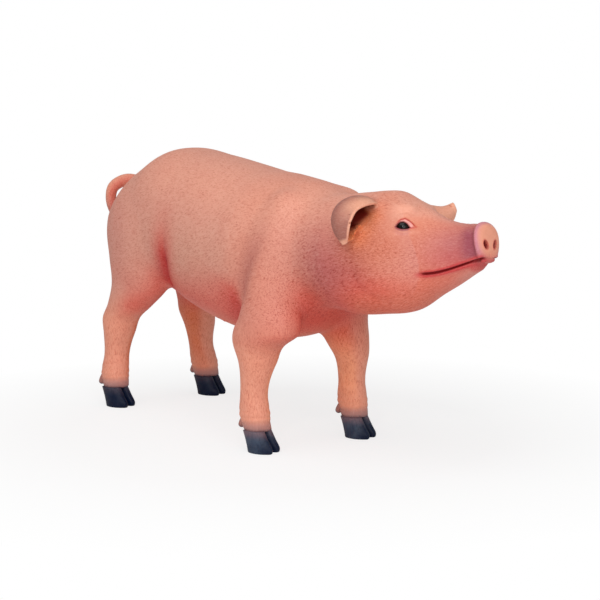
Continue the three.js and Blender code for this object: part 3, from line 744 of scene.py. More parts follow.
TONES = {  # what the finishes mix into the paints
    # the groove tone is painted shade in the carved hair's grooves, the crest tone a painted highlight on its
    # crests
    "skin_cloud": (244, 184, 160), "skin_mottle": (204, 112, 94), "skin_groove_shade": (200, 132, 120),
    "skin_crest_highlight": (255, 222, 206), "worn_slate": (92, 104, 118), "growth_line": (8, 16, 28),
    "dewclaw_cloud": (120, 84, 84), "pupil": (3, 2, 3), "iris": (26, 12, 8), "eye_edge": (60, 22, 20),
    "eye_fleck": (26, 14, 10),
}
WHITE = (1, 1, 1, 1)


def tone(name):
    """One of the tones as red, green, blue and full cover."""
    return (*linear(TONES[name]), 1)


def over(under, colour, share):
    """A colour laid over what is under it, by a share from 0 to 1 at each point."""
    k = np.clip(share, 0, 1)[:, None]
    return under * (1 - k) + np.asarray(colour) * k


class Airbrush:
    """The skin's colour, and how strongly painted shade darkens the grooves of its hair, at each point. Every
    coat lays one paint over those before it, by a mask made of soft blobs, bands and distances to paths."""

    def __init__(self, p, normal, paints):
        self.p, self.normal, self.paints = p, normal, paints
        self.q = in_head(p)
        self.marks = face_marks(self.q)
        self.rgb = np.tile(paints["flesh"], (len(p), 1))
        # painted shade in the carved hair's grooves, a little everywhere
        self.groove_shade = np.full(len(p), 0.55)

    def coat(self, name, mask, strength=1.0):
        """One paint over those before it, by mask times strength, held between 0 and 1."""
        self.rgb = over(self.rgb, self.paints[name], mask * strength)

    def barrel_and_legs(self):
        """Warm on top, lightened there as a painted highlight; cooler on the flank, darkened there as painted
        shade; peach and orange inside the legs, the orange partly painted shade between them; blushing
        underneath, partly painted shade.
        """
        p, (x, y, z) = self.p, self.p.T
        facing_ahead, _, facing_up = self.normal.T
        # how much each place faces up: it places the painted highlight on top and the painted shade on the
        # flank
        above = ease(facing_up, 0.1, 0.75)
        leg = ease(z, 250, 170)
        inward = -self.normal[:, 1] * np.sign(y)
        inner = ease(inward, 0.1, 0.7)
        # painted highlight on the surfaces that face up, over the back
        self.coat("back", above * ease(z, 300, 430), 0.75)
        # painted shade on the lower flank, where the surface doesn't face up
        self.coat("flank", (1 - above) * from_side(p, (20, 300), (150, 75)), 0.85)
        self.coat("mauve", from_side(p, (-230, 350), (60, 70)), 0.22)
        self.coat("leg", leg, 0.9)
        self.coat("inner_leg", inner * ease(z, 290, 220) * (x > 0), 0.85)
        # the hind legs' own orange inside, deepened as painted shade between the legs
        self.coat("inner_thigh", inner * ease(z, 290, 220) * (x < 0), 0.8)
        self.coat("leg", inner * ease(z, 110, 60), 0.6)
        # orange high on the forelegs' inner side, partly painted shade between them
        self.coat("inner_thigh", inner * ease(z, 150, 210) * (x > 0), 0.7)
        # red on the inward faces at the belly's height, partly painted shade between the legs
        self.coat("blush", ease(inward, 0.0, 0.6) * bell(z - 235, 50), 0.65)
        # red on the front of the hind legs' tops by the groin, partly painted shade
        self.coat("blush", from_side(p, (-190, 205), (42, 34)) * ease(facing_ahead, -0.4, 0.5), 0.6)
        # red underneath, where the surface faces down, partly painted shade
        self.coat("blush", ease(facing_up, 0.25, -0.7) * ease(z, 340, 235) * (1 - leg), 0.72)
        # red low on the belly, partly painted shade
        self.coat("blush", from_side(p, (110, 235), (120, 62)) * (1 - leg), 0.5)
        self.coat("cheek", from_side(p, (245, 345), (72, 110)) * (1 - above), 0.36)
        self.coat("cheek", from_side(p, (225, 440), (60, 60)) * above, 0.2)

    def folds(self):
        """Red in the folds where the legs join the barrel, partly painted shade, dark pink as painted shade
        in the hollow behind each shoulder, and red over the chest.
        """
        p, behind = self.p, ease(self.p[:, 0], 206, 182)
        for side in SIDES:
            # red round the groin and deep red in its fold: airbrushed red, partly painted shade
            away, share = near_path(p, GROIN[side])
            self.coat("blush", bell(away, 38) * ease(share, -0.3, 0.55), 0.85)
            self.coat("fold", bell(away, 24) * ease(share, 0.1, 0.6), 0.95)
            # red behind each foreleg, deepest in the armpit, partly painted shade
            away, share = near_path(p, ARMPIT[side])
            self.coat("blush", bell(away, 58) * behind * ease(share, 0.0, 0.55), 0.95)
            self.coat("fold", bell(away, 34) * behind * ease(share, 0.1, 0.7), 0.6)
            # more painted shade in the hair's grooves behind each foreleg
            self.groove_shade += 0.6 * bell(away, 50) * behind * ease(share, 0.1, 0.8)
            # red along the breast's crease, partly painted shade
            away, share = near_path(p, BREAST[side])
            self.coat("blush", bell(away, 24) * ease(share, 0.1, 0.6), 0.6)
            self.coat("fold", bell(away, 12) * ease(share, 0.45, 1.0), 0.7)
            # painted shade: dark pink in the hollow behind each shoulder
            away, share = near_path(p, SHOULDER[side])
            self.coat("neck", bell(away, 30) * ease(share, 0, 0.7), 0.4)
        chest = blob(p, (330, 0, 235), (85, 110, 70))
        # more painted shade in the hair's grooves over the chest
        self.groove_shade += 0.6 * chest
        self.coat("throat", chest, 0.95)
        # deep red over the chest and low between the forelegs, partly painted shade
        self.coat("fold", chest, 0.3)
        self.coat("fold", blob(p, (300, 0, 215), (60, 110, 34)), 0.12)
        # painted shade: throat red under the neck, where the surface faces down
        under = ease(self.normal[:, 2], 0.2, -0.6)
        self.coat("throat", under * blob(p, (430, 0, 290), (90, 110, 60)), 0.8)

    def neck_and_head(self):
        """Dark pink behind the jowl, partly painted shade under the ears and along the jowl's crease, orange
        cheeks, pale brows brightened as a painted highlight, and a mauve snout.
        """
        q, (u, _, w) = self.q, self.q.T
        for side in SIDES:
            # dark pink behind the jowl and along its crease, partly painted shade under the ears
            self.coat("neck", blob(q, (0, side * 90, 28), (76, 56, 80)), 0.85)
            self.coat("neck", bell(near_path(q, JOWL[side])[0], 20), 0.6)
            self.coat("throat", blob(q, (62, side * 74, -34), (56, 46, 48)), 0.8)
            self.coat("neck", blob(q, (40, side * 84, 2), (44, 40, 40)), 0.5)
        # more painted shade in the hair's grooves on the right of the neck
        self.groove_shade += 0.45 * blob(q, (0, -80, 10), (90, 90, 80))
        head = ease(u, -10, 40)
        self.coat("throat", head * ease(w, 22, -40) * ease(u, 240, 190), 0.7)
        self.coat("cheek", head * ease(w, -10, -50), 0.45)
        self.coat("cheek", head * from_side(q, (98, 46), (56, 46)), 0.85)
        self.coat("cheek", head * from_side(q, (88, 100), (40, 40)), 0.5)
        # painted highlight on the brow, over the eye
        self.coat("brow", from_side(q, (135, 105), (26, 15)), 0.9)
        by_eye, ahead, up = (self.marks[key] for key in ("by_eye", "ahead", "up"))
        at_eye = np.stack([ahead, up, up], 1)
        self.coat("brow", by_eye * blob(at_eye, (4, -13, -13), (22, 6, 6)), 0.55)
        self.coat("mauve", from_side(q, (208, 34), (68, 46)), 0.95)
        self.coat("mauve_deep", from_side(q, (212, 10), (60, 22)), 0.7)
        self.coat("plum", from_side(q, (214, 34), (26, 30)), 0.2)
        self.coat("flesh", head * ease(w, 66, 110) * ease(u, 240, 205), 0.4)
        self.coat("plum", ease(u, 212, 240) * ease(u, 264, 250) * ease(w, -4, 14) * ease(w, 74, 46), 0.8)

    def nose_and_mouth(self):
        """A pale disc with a cool rim, red lips, and dark red nostrils and mouth."""
        m, (u, _, w) = self.marks, self.q.T
        self.coat("disc_rim", m["disc"] * ease(u, 244, 252), 0.9)
        self.coat("disc", m["disc"] * ease(u, 256, 264), 0.95)
        self.coat("blush", m["disc"] * ease(w, 22, -4), 0.6)
        self.coat("blush", m["rim"], 0.75)
        self.coat("dark_red", m["nostril"])
        self.coat("lip", np.clip(m["lip_upper"] * 0.9 + m["lip_lower"], 0, 1), 0.9)
        self.coat("lip", ease(u, 222, 236) * ease(u, 256, 248) * ease(w, 0, -4) * ease(w, -20, -12), 0.7)
        self.coat("lip", m["corner"], 0.85)
        self.coat("dark_red", m["mouth"])

    def lids(self):
        """Pale lids under a red crease, and a dark slit round the eyeball."""
        m = self.marks
        self.coat("lid", m["lid_upper"], 0.95)
        self.coat("mauve", m["lid_bag"], 0.5)
        self.coat("blush", m["lid_crease"], 0.95)
        self.coat("dark_red", m["lid_crease"], 0.35)
        self.coat("plum", m["lid_lower"], 0.75)
        self.coat("lip", m["duct"], 0.8)
        self.coat("dark_red", m["by_eye"] * ease(m["slit"], 1.0, 0.1), 0.95)

    def beside_ear(self):
        """The golden skin on the head beside the right ear's hollow, with dark red at its root that is partly
        painted shade.
        """
        away, share = near_path(self.q, EAR_MOUTH)
        self.coat("cheek", bell(away, 28), 0.6)
        self.coat("ear_gold", bell(away, 17) * ease(share, -0.2, 0.3), 0.8)
        # dark red at the root of the ear's hollow, partly painted shade
        self.coat("ear_deep", blob(self.q, (68, -70, 102), (13, 12, 17)), 0.98)

    def ear(self, ear, side):
        """Grey-mauve back, pale top and rim, golden hollow that is dark red deep inside, partly as painted
        shade.
        """
        p, near = self.p, ear.close_to(self.p)
        s, t, on_sheet, facing = np.zeros(len(p)), np.zeros(len(p)), p.copy(), p * 0
        s[near], t[near], on_sheet[near], facing[near] = ear.read(p[near])
        on_ear = near * ease(np.linalg.norm(p - on_sheet, axis=1), 9, 5.5) * ease(s, 0.03, 0.16)
        height, agreement = ((p - on_sheet) * facing).sum(1), (self.normal * facing).sum(1)
        hollow = ease(height, -0.8, 1.2) * ease(agreement, -0.2, 0.3)
        inside, outside = on_ear * hollow, on_ear * (1 - hollow)
        rim = on_ear * ease(np.maximum(np.abs(t), s * 1.02), 0.93, 0.99)
        near_wall = 1 - ease(t, 0.3, 0.6)
        top = ease(-t, 0.3, 0.9) * ease(s, 0.8, 0.3) if side < 0 else 0.8
        self.coat("ear_back", outside * near_wall, 0.9)
        self.coat("ear_gold", on_ear * ease(t, 0.5, 0.8) * ease(s, 0.2, 0.6), 0.9)
        self.coat("ear_top", outside * top, 0.9)
        self.coat("ear_gold", inside, 0.95)
        # dark red deep in the hollow, partly painted shade
        self.coat("ear_deep", inside * ease(s, 0.97, 0.75) * ease(t, 1.0 + 0.2 * (s < 0.5), 0.8), 0.97)
        self.coat("ear_top", rim * near_wall, 0.85)
        # less painted shade in the hair's grooves on the ears
        self.groove_shade *= 1 - 0.6 * on_ear

    def tail_and_coronets(self):
        """A leg-coloured tail, redder and darker below and on the side that faces the rump as painted shade,
        and skin that darkens where it meets the hooves.
        """
        x, _, z = self.p.T
        tail = ease(near_path(self.p, TAIL_PATH)[0], 22, 15) * ease(x, -300, -322)
        self.coat("leg", tail, 0.7)
        # painted shade: red on the side of the tail that faces the rump
        self.coat("blush", tail * ease(self.normal[:, 0], 0.2, 0.9), 0.6)
        # painted shade: dark pink on the tail's lower end
        self.coat("neck", tail * ease(z, 425, 370), 0.5)
        self.coat("coronet", ease(z, 60, 44), 0.8)
        self.coat("hoof_top", ease(z, 44, 37), 0.75)

    def smooth_places(self):
        """Less painted shade in the hair's grooves on the snout, round the eyes, on the disc and at the
        hooves, where no hair is cut.
        """
        m = self.marks
        self.groove_shade *= 1 - 0.45 * ease(self.q[:, 0], 120, 200)
        self.groove_shade *= (1 - 0.7 * m["by_eye"]) * (1 - 0.8 * m["disc"]) * ease(self.p[:, 2], 42, 70)


def markings(p, normal, paints):
    """The painted colour and the strength of the painted shade in the hair's grooves at each point of the
    skin.
    """
    brush = Airbrush(p, normal, paints)
    brush.barrel_and_legs()
    brush.folds()
    brush.neck_and_head()
    brush.nose_and_mouth()
    brush.beside_ear()
    brush.lids()
    for side, ear in EARS.items():
        brush.ear(ear, side)
    brush.tail_and_coronets()
    brush.smooth_places()
    return brush.rgb, brush.groove_shade


# ---------- putting meshes into the scene
def eye_in_head(side):
    """The middle of one eyeball in the head."""
    return np.array(EYE_AT) * (1, side, 1)


def origin():
    """Where the middle of the four feet lies in the frame, in metres: the middle of the eyes' boxes less
    where the form has it."""
    boxes = [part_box(f"eye_{name}") for name in SIDE_NAMES.values()]
    middle = np.mean([np.array(low) + np.array(high) for low, high in boxes], 0) / 2
    places = [out_of_head(eye_in_head(side)) for side in SIDES]
    return middle - np.mean(places, 0) / 1000


ORIGIN = origin()


def placed(p):
    """From the form's millimetres to the frame's metres."""
    return p / 1000 + ORIGIN


def add_mesh(name, points, faces, attributes, material):
    """One object at the origin, its place in its mesh, smooth-shaded, with point attributes of one or three
    numbers."""
    mesh = bpy.data.meshes.new(name)
    mesh.vertices.add(len(points))
    mesh.vertices.foreach_set("co", placed(points).astype(np.float32).ravel())
    mesh.loops.add(faces.size)
    mesh.loops.foreach_set("vertex_index", faces.astype(np.int32).ravel())
    mesh.polygons.add(len(faces))
    mesh.polygons.foreach_set("loop_start", np.arange(0, faces.size, faces.shape[1], dtype=np.int32))
    mesh.polygons.foreach_set("use_smooth", np.ones(len(faces), bool))
    mesh.update(calc_edges=True)
    mesh.validate()
    for key, values in attributes.items():
        if values.ndim == 2:
            layer = mesh.attributes.new(key, "FLOAT_COLOR", "POINT")
            rgba = np.concatenate([values, np.ones((len(values), 1))], 1)
            layer.data.foreach_set("color", rgba.astype(np.float32).ravel())
        else:
            layer = mesh.attributes.new(key, "FLOAT", "POINT")
            layer.data.foreach_set("value", values.astype(np.float32))
    mesh.materials.append(material)
    piece = bpy.data.objects.new(name, mesh)
    bpy.context.scene.collection.objects.link(piece)
    return piece


def grid_faces(rows, columns, closed=True):
    """Quads between neighbouring points of rows by columns; closed joins the last column to the first."""
    i, j = np.meshgrid(np.arange(rows - 1), np.arange(columns if closed else columns - 1), indexing="ij")
    i, j = i.ravel(), j.ravel()
    k = (j + 1) % columns
    return np.stack([i * columns + j, i * columns + k, (i + 1) * columns + k, (i + 1) * columns + j], 1)


def closed_tube(loops):
    """Triangles of a tube through loops (rows, columns, 3), its ends closed by fans about their middles."""
    rows, columns = loops.shape[:2]
    points = np.concatenate([loops.reshape(-1, 3), loops[:1].mean(1), loops[-1:].mean(1)])
    quads = grid_faces(rows, columns)
    j, k = np.arange(columns), np.roll(np.arange(columns), -1)
    low = np.stack([np.full(columns, rows * columns), k, j], 1)
    base = (rows - 1) * columns
    high = np.stack([np.full(columns, rows * columns + 1), base + j, base + k], 1)
    faces = np.concatenate([quads[:, :3], quads[:, [0, 2, 3]], low, high])
    a, b, c = (points[faces[:, i]] for i in range(3))
    if (np.cross(a, b) * c).sum() < 0:
        faces = faces[:, ::-1]
    return points, faces


# ---------- materials
class Value:
    """A socket that adds its own Math nodes when it is used in arithmetic."""

    def __init__(self, finish, socket):
        self.finish, self.socket = finish, socket

    def __add__(self, other):
        return self.finish.maths("ADD", self, other)

    def __sub__(self, other):
        return self.finish.maths("SUBTRACT", self, other)

    def __rsub__(self, other):
        return self.finish.maths("SUBTRACT", other, self)

    def __mul__(self, other):
        return self.finish.maths("MULTIPLY", self, other)

    __radd__ = __add__
    __rmul__ = __mul__


class Finish:
    """One material, or the world, and the nodes that make it."""

    def __init__(self, name, store="materials"):
        self.block = getattr(bpy.data, store).new(name)
        self.block.use_nodes = True
        self.nodes = self.block.node_tree.nodes
        self.links = self.block.node_tree.links
        self.nodes.clear()

    def node(self, kind, sockets=(), out=0, **settings):
        """A node of a type, its settings first, then the values or links of its sockets."""
        node = self.nodes.new("ShaderNode" + kind)
        for key, value in settings.items():
            setattr(node, key, value)
        for key, value in dict(sockets).items():
            if isinstance(value, Value):
                self.links.new(value.socket, node.inputs[key])
            else:
                node.inputs[key].default_value = value
        return Value(self, node.outputs[out]) if node.outputs else None

    def maths(self, operation, a, b):
        """One Math node on two numbers or values."""
        return self.node("Math", {0: a, 1: b}, operation=operation)

    def mix(self, share, a, b, blend_type="MIX"):
        """Colours a and b mixed by share."""
        return self.node("Mix", {0: share, 6: a, 7: b}, out=2, data_type="RGBA", blend_type=blend_type)

    def remap(self, value, low, high):
        """0 at low, 1 at high, held past both."""
        return self.node("MapRange", {0: value, 1: low, 2: high})

    def attribute(self, name, out="Color"):
        """A point attribute of the mesh: Color for three numbers, Fac for one."""
        return self.node("Attribute", out=out, attribute_name=name)

    def coordinates(self, scale=(1, 1, 1), turn=(0, 0, 0)):
        """Object coordinates in metres, turned and then stretched."""
        here = self.node("TexCoord", out="Object")
        turned = self.node("Mapping", {0: here, "Rotation": turn}, vector_type="POINT")
        return self.node("Mapping", {0: turned, "Scale": scale}, vector_type="POINT")

    def noise(self, vector, scale, detail, roughness, distortion=0.0):
        """Noise from 0 to 1 about 0.5, with so many spots to a metre, at places along the vector."""
        return self.node("TexNoise", {"Vector": vector, "Scale": scale, "Detail": detail,
                                      "Roughness": roughness, "Distortion": distortion})

    def bump(self, height, strength, distance, normal=None):
        """The surface's facing tilted as if raised by the height times the distance, over another bump."""
        sockets = {"Height": height, "Strength": strength, "Distance": distance}
        if normal:
            sockets["Normal"] = normal
        return self.node("Bump", sockets)

    def surface(self, **inputs):
        """The Principled shader with these inputs, underscores standing for spaces, into the output."""
        shader = self.node("BsdfPrincipled", {key.replace("_", " "): value for key, value in inputs.items()})
        self.node("OutputMaterial", {"Surface": shader})
        return self.block


BACK_SLOPE = math.radians(14)  # how steeply the hair on the barrel falls towards the rump


def hair_height(f):
    """Height of the carved hair: fine noise drawn out along the lie of the coat, one pattern each for
    barrel, legs and head, chosen by the skin's own attributes, with a little even grain."""
    yaw, pitch, _ = HEAD_TURN
    cut = {"scale": 1, "detail": 4, "roughness": 0.6, "distortion": 0.7}
    barrel = f.noise(f.coordinates((130, 430, 400), (0, BACK_SLOPE, 0)), **cut)
    legs = f.noise(f.coordinates((430, 430, 130)), **cut)
    head = f.noise(f.coordinates((150, 460, 460), (0, pitch, -yaw)), **cut)
    on_leg, on_head = f.attribute("on_leg", "Fac"), f.attribute("on_head", "Fac")
    drawn = (barrel * (1 - on_leg) + legs * on_leg) * (1 - on_head) + head * on_head
    grain = f.noise(f.coordinates(), 420, 2, 0.6)
    return drawn * 0.8 + grain * 0.2


def skin_finish(relief):
    """Airbrushed flesh over carved hair: the painted colour, painted shade that darkens the hair's grooves,
    small warm and pale mottling, a painted highlight on the hair's crests, and a satin varnish that is duller
    in the grooves. The pale mixes fade where the paint is dark, so that nostrils and mouth stay dark."""
    f = Finish("painted_skin")
    paint = f.attribute("paint")
    groove_shade = f.attribute("groove_shade", "Fac")
    height = hair_height(f)
    groove = f.remap(height, 0.5, 0.34)
    crest = f.remap(height, 0.52, 0.68)
    mottle = f.noise(f.coordinates(), 38, 4, 0.62)
    cloud = f.noise(f.coordinates(), 9, 3, 0.5)
    light = f.remap(f.node("RGBToBW", {0: paint}), 0.03, 0.22)
    base = f.mix(f.remap(cloud, 0.35, 0.7) * light * 0.10, paint, tone("skin_cloud"))
    base = f.mix(f.remap(mottle, 0.45, 0.75) * light * 0.18, base, tone("skin_mottle"))
    # painted shade: the grooves of the carved hair darkened by the groove tone
    dark = f.mix(1.0, base, tone("skin_groove_shade"), "MULTIPLY")
    base = f.mix(groove * groove_shade * 0.95, base, dark)
    # painted highlight on the crests of the carved hair, only where the paint is light
    base = f.mix(crest * light * 0.12, base, tone("skin_crest_highlight"))
    normal = f.bump(height, relief, 0.0012)
    normal = f.bump(mottle, 0.10, 0.003, normal)
    rough = 0.5 + groove * 0.18 - crest * 0.05
    return f.surface(Base_Color=base, Roughness=rough, Specular_IOR_Level=0.24, Normal=normal)


def hoof_finish():
    """Slate and ink as painted on, clouded with worn slate, over fine upright growth lines."""
    f = Finish("painted_hoof")
    paint = f.attribute("paint")
    lines = f.noise(f.coordinates((420, 420, 60)), 1, 3, 0.6)
    cloud = f.noise(f.coordinates(), 60, 4, 0.6)
    light = f.remap(f.node("RGBToBW", {0: paint}), 0.0, 0.04)
    base = f.mix(f.remap(cloud, 0.42, 0.7) * light * 0.35, paint, tone("worn_slate"))
    base = f.mix(f.remap(lines, 0.5, 0.3) * 0.35, base, tone("growth_line"))
    rough = 0.36 + f.remap(cloud, 0.3, 0.7) * 0.2
    normal = f.bump(lines * 0.7 + cloud * 0.3, 0.35, 0.0008)
    return f.surface(Base_Color=base, Roughness=rough, Specular_IOR_Level=0.16, Normal=normal)


def dewclaw_finish():
    """Brown-pink paint that darkens to the tip, clouded, over a fine grain."""
    f = Finish("painted_dewclaw")
    paint = f.attribute("paint")
    cloud = f.noise(f.coordinates(), 140, 3, 0.6)
    base = f.mix(f.remap(cloud, 0.4, 0.7) * 0.3, paint, tone("dewclaw_cloud"))
    return f.surface(Base_Color=base, Roughness=0.5 + cloud * 0.1, Normal=f.bump(cloud, 0.3, 0.0006))


def eye_finish():
    """A deep brown-black glass eye, very smooth: its paint carries the iris ring."""
    f = Finish("glass_eye")
    paint = f.attribute("paint")
    flecks = f.noise(f.coordinates(), 900, 2, 0.5)
    base = f.mix(f.remap(flecks, 0.45, 0.7) * 0.3, paint, tone("eye_fleck"))
    normal = f.bump(flecks, 0.02, 0.0002)
    return f.surface(Base_Color=base, Roughness=0.02 + flecks * 0.02, Specular_IOR_Level=0.28, Normal=normal)


# ---------- the user's sizes and colours
class PigSizes(bpy.types.PropertyGroup):
    inset: FloatProperty(name="Coat depth", description="How far the skin lies inside the solids",
                         default=0.0009, unit="LENGTH")
    body_edge: FloatProperty(name="Body mesh", description="Longest edge on barrel and legs",
                             default=0.0072, unit="LENGTH")
    head_edge: FloatProperty(name="Head mesh", description="Longest edge on head and ears",
                             default=0.0036, unit="LENGTH")
    detail_edge: FloatProperty(name="Detail mesh", description="Longest edge at eyes, mouth and nostrils",
                               default=0.00105, unit="LENGTH")
    hair_relief: FloatProperty(name="Hair relief", description="Strength of the carved hair in the varnish",
                               default=0.42, subtype="FACTOR", min=0, max=1)


class PigPaints(bpy.types.PropertyGroup):
    __annotations__ = {
        key: FloatVectorProperty(name=key.replace("_", " ").title(), description=text, subtype="COLOR",
                                 size=3, min=0, max=1, default=tuple(float(c) for c in linear(shade)))
        for key, (shade, text) in PAINTS.items()
    }


class PigStudio(bpy.types.PropertyGroup):
    azimuth: FloatProperty(name="Azimuth", description="The camera's turn from the pig's right side",
                           default=math.radians(54.7), subtype="ANGLE")
    elevation: FloatProperty(name="Elevation", description="The camera's height as an angle",
                             default=math.radians(8.2), subtype="ANGLE")
    distance: FloatProperty(name="Distance", description="Camera to target", default=3.5, unit="LENGTH")
    lens: FloatProperty(name="Lens", description="Focal length on a 36 mm sensor, millimetres", default=112.1)
    across: FloatProperty(name="Target across", description="Target to the right of the feet's middle",
                          default=0.123, unit="LENGTH")
    height: FloatProperty(name="Target height", description="Target above the floor", default=0.23,
                          unit="LENGTH")
    key: FloatProperty(name="Key light", description="Power of the large lamp above", default=20.5,
                       unit="POWER")
    fill: FloatProperty(name="Fill light", description="Power of the lamp at the camera's side", default=17.0,
                        unit="POWER")
    glint: FloatProperty(name="Glint", description="Power of the small lamp that lights up the eyes",
                         default=8.0, unit="POWER")
    sky: FloatProperty(name="Surround", description="Strength of the even white surround", default=0.44)


def paints_of(context):
    """The user's paints by name."""
    group = context.scene.pig_paints
    return {key: np.array(getattr(group, key)) for key in PAINTS}


# ---------- operators
FLESH_NODES = ("trunk", "neck", "head", "snout", "lower_jaw", "tail_root", "tail_tip",
               *(f"ear_{side}" for side in SIDE_NAMES.values()),
               *(f"leg_{end}_{side}" for end in ENDS for side in SIDE_NAMES.values()))
NET_BOX = (-390, -170, 28), (672, 182, 536)  # lowest and highest corner around the whole body
NET_STEP = 7.0


def skin_mesh(sizes):
    """Points, faces and facing of the skin before its carving: a coarse net of the body, its ears thickened
    so that the net can't miss them, settled on the true body, with edges halved and evened until each place
    has its wanted length."""
    inset = sizes.inset * 1000

    def grown(p):
        return flesh(p, inset, 3.0)

    def true(p):
        return flesh(p, inset)

    points, faces = net(grown, *NET_BOX, NET_STEP)
    points = settle(true, points, 3)
    longest = edge_length(sizes.body_edge * 1000, sizes.head_edge * 1000, sizes.detail_edge * 1000)
    for _ in range(4):
        points = settle(true, relaxed(points, faces, 0.5), 1)
        points, faces = refined(points, faces, longest)
    points = settle(true, relaxed(points, faces, 0.5), 1)
    points = settle(true, relaxed(points, faces, 0.4), 2, 2.0)
    return points, faces, unit(slope_of(true, points)[1])


class PIG_OT_skin(bpy.types.Operator):
    """Make the one skin that replaces the solids of flesh"""
    bl_idname = "pig.skin"
    bl_label = "Skin"

    def execute(self, context):
        sizes = context.scene.pig_sizes
        points, faces, normal = skin_mesh(sizes)
        q = in_head(points)
        paint, groove_shade = markings(points, normal, paints_of(context))
        points = points + normal * carved(points, q)[:, None]
        on_head = ease(q[:, 0], -20, 20)
        on_leg = ease(points[:, 2], 250, 200) * (1 - on_head)
        attributes = {"paint": paint, "groove_shade": groove_shade, "on_head": on_head, "on_leg": on_leg}
        piece = add_mesh("skin", points, faces, attributes, skin_finish(sizes.hair_relief))
        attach(piece, BODY)
        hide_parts(*FLESH_NODES)
        return {"FINISHED"}


class PIG_OT_eyes(bpy.types.Operator):
    """Make the two glossy eyes"""
    bl_idname = "pig.eyes"
    bl_label = "Eyes"

    def execute(self, context):
        finish = eye_finish()
        latitude, longitude = np.meshgrid(np.linspace(0.02, math.pi - 0.02, 40),
                                          np.arange(64) * math.tau / 64, indexing="ij")
        away, sideways, upwards = (part[..., None] for part in (
            np.cos(latitude), np.sin(latitude) * np.cos(longitude), np.sin(latitude) * np.sin(longitude)))
        angle = np.append(latitude.ravel(), (0, math.pi))
        pupil, iris, edge = (linear(TONES[name]) for name in ("pupil", "iris", "eye_edge"))
        paint = np.tile(pupil, (len(angle), 1))
        paint = over(paint, iris, ease(angle, 0.72, 0.66) * ease(angle, 0.38, 0.46) * 0.8)
        paint = over(paint, edge, ease(angle, 0.80, 0.95) * 0.6)
        for side, name in SIDE_NAMES.items():
            # a ball about the way it looks: the cosine of the latitude along it, the sine around it
            out, ahead, up = EYE_LOOK * (1, side, 1)
            ball = (away * out + sideways * ahead + upwards * up) * EYE_RADIUS
            points, faces = closed_tube(out_of_head(ball + eye_in_head(side)))
            piece = add_mesh(f"glass_eye_{name}", points, faces, {"paint": paint}, finish)
            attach(piece, BODY)
            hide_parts(f"eye_{name}")
        return {"FINISHED"}


def each_toe():
    """The end, side, outward way and name of each of the eight toes."""
    for end, side, (toe, outward) in itertools.product(ENDS, SIDES, TOES.items()):
        yield end, side, outward, f"{end}_{SIDE_NAMES[side]}_{toe}"


def claw_points(end, side, outward):
    """One main claw: loops at smooth levels, each flat towards the other claw and pointed at the toe, then
    turned a little to the left about the middle of the foot. Also each point's place ahead and aside before
    that turn."""
    z = np.concatenate([[0, 0.5, 1.5], np.linspace(4, 38, 16)])
    shift, length, wide = read(smooth(CLAW_LEVELS), z)
    a = np.arange(48) * math.tau / 48
    c, s = np.cos(a), np.sin(a)
    toe = np.where(c > 0, 1 - 0.55 * c * c, 1 - 0.2 * c * c)
    outer = np.sign(s) * np.abs(s) ** 0.72 * toe
    inner = np.sign(s) * 0.86 * np.abs(s) ** 0.5 * np.where(c > 0, 1 - 0.12 * c * c, toe)
    across = np.where(s * side * outward > 0, outer, inner)
    ahead = shift[:, None] + length[:, None] * c
    aside = side * outward * CLAW["apart"] + CLAW["half"] * wide[:, None] * across
    cos, sin = math.cos(CLAW["turn"]), math.sin(CLAW["turn"])
    x = ENDS[end] * HOOF_X + ahead * cos - aside * sin
    y = side * HOOF_Y + ahead * sin + aside * cos
    return np.stack([x, y, np.broadcast_to(z[:, None], x.shape)], -1), ahead, aside


class PIG_OT_hooves(bpy.types.Operator):
    """Make the eight main claws"""
    bl_idname = "pig.hooves"
    bl_label = "Hooves"

    def execute(self, context):
        paints = paints_of(context)
        finish = hoof_finish()
        for end, side, outward, name in each_toe():
            loops, ahead, aside = claw_points(end, side, outward)
            points, faces = closed_tube(loops)
            z = points[:, 2]
            ahead = np.append(ahead.ravel(), ahead.mean(1)[[0, -1]])
            aside = np.append(aside.ravel(), aside.mean(1)[[0, -1]])
            cleft = ease(CLAW["apart"] - aside * side * outward, 2, 11)
            # over the hooves' own slate-to-ink paint: the hind hooves darkened nearly to ink as painted
            # shade, the fore kept paler with a lighter top as a painted highlight
            ink, fade = (0.15, 0.45) if end == "fore" else (0.92, 0.1)
            paint = np.tile(paints["slate"], (len(points), 1))
            paint = over(paint, paints["ink"], ease(ahead, 2, 22) * 0.75)
            paint = over(paint, paints["ink"], cleft * 0.8)
            paint = over(paint, paints["ink"], bell(z - 8, 9) * 0.3)
            paint = over(paint, paints["ink"], np.full(len(z), ink))
            paint = over(paint, paints["coronet"], ease(z, 22, 39) * fade * (1 - cleft))
            piece = add_mesh(f"hoof_{name}", points, faces, {"paint": paint}, finish)
            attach(piece, BODY)
            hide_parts(f"claw_{name}")
        return {"FINISHED"}


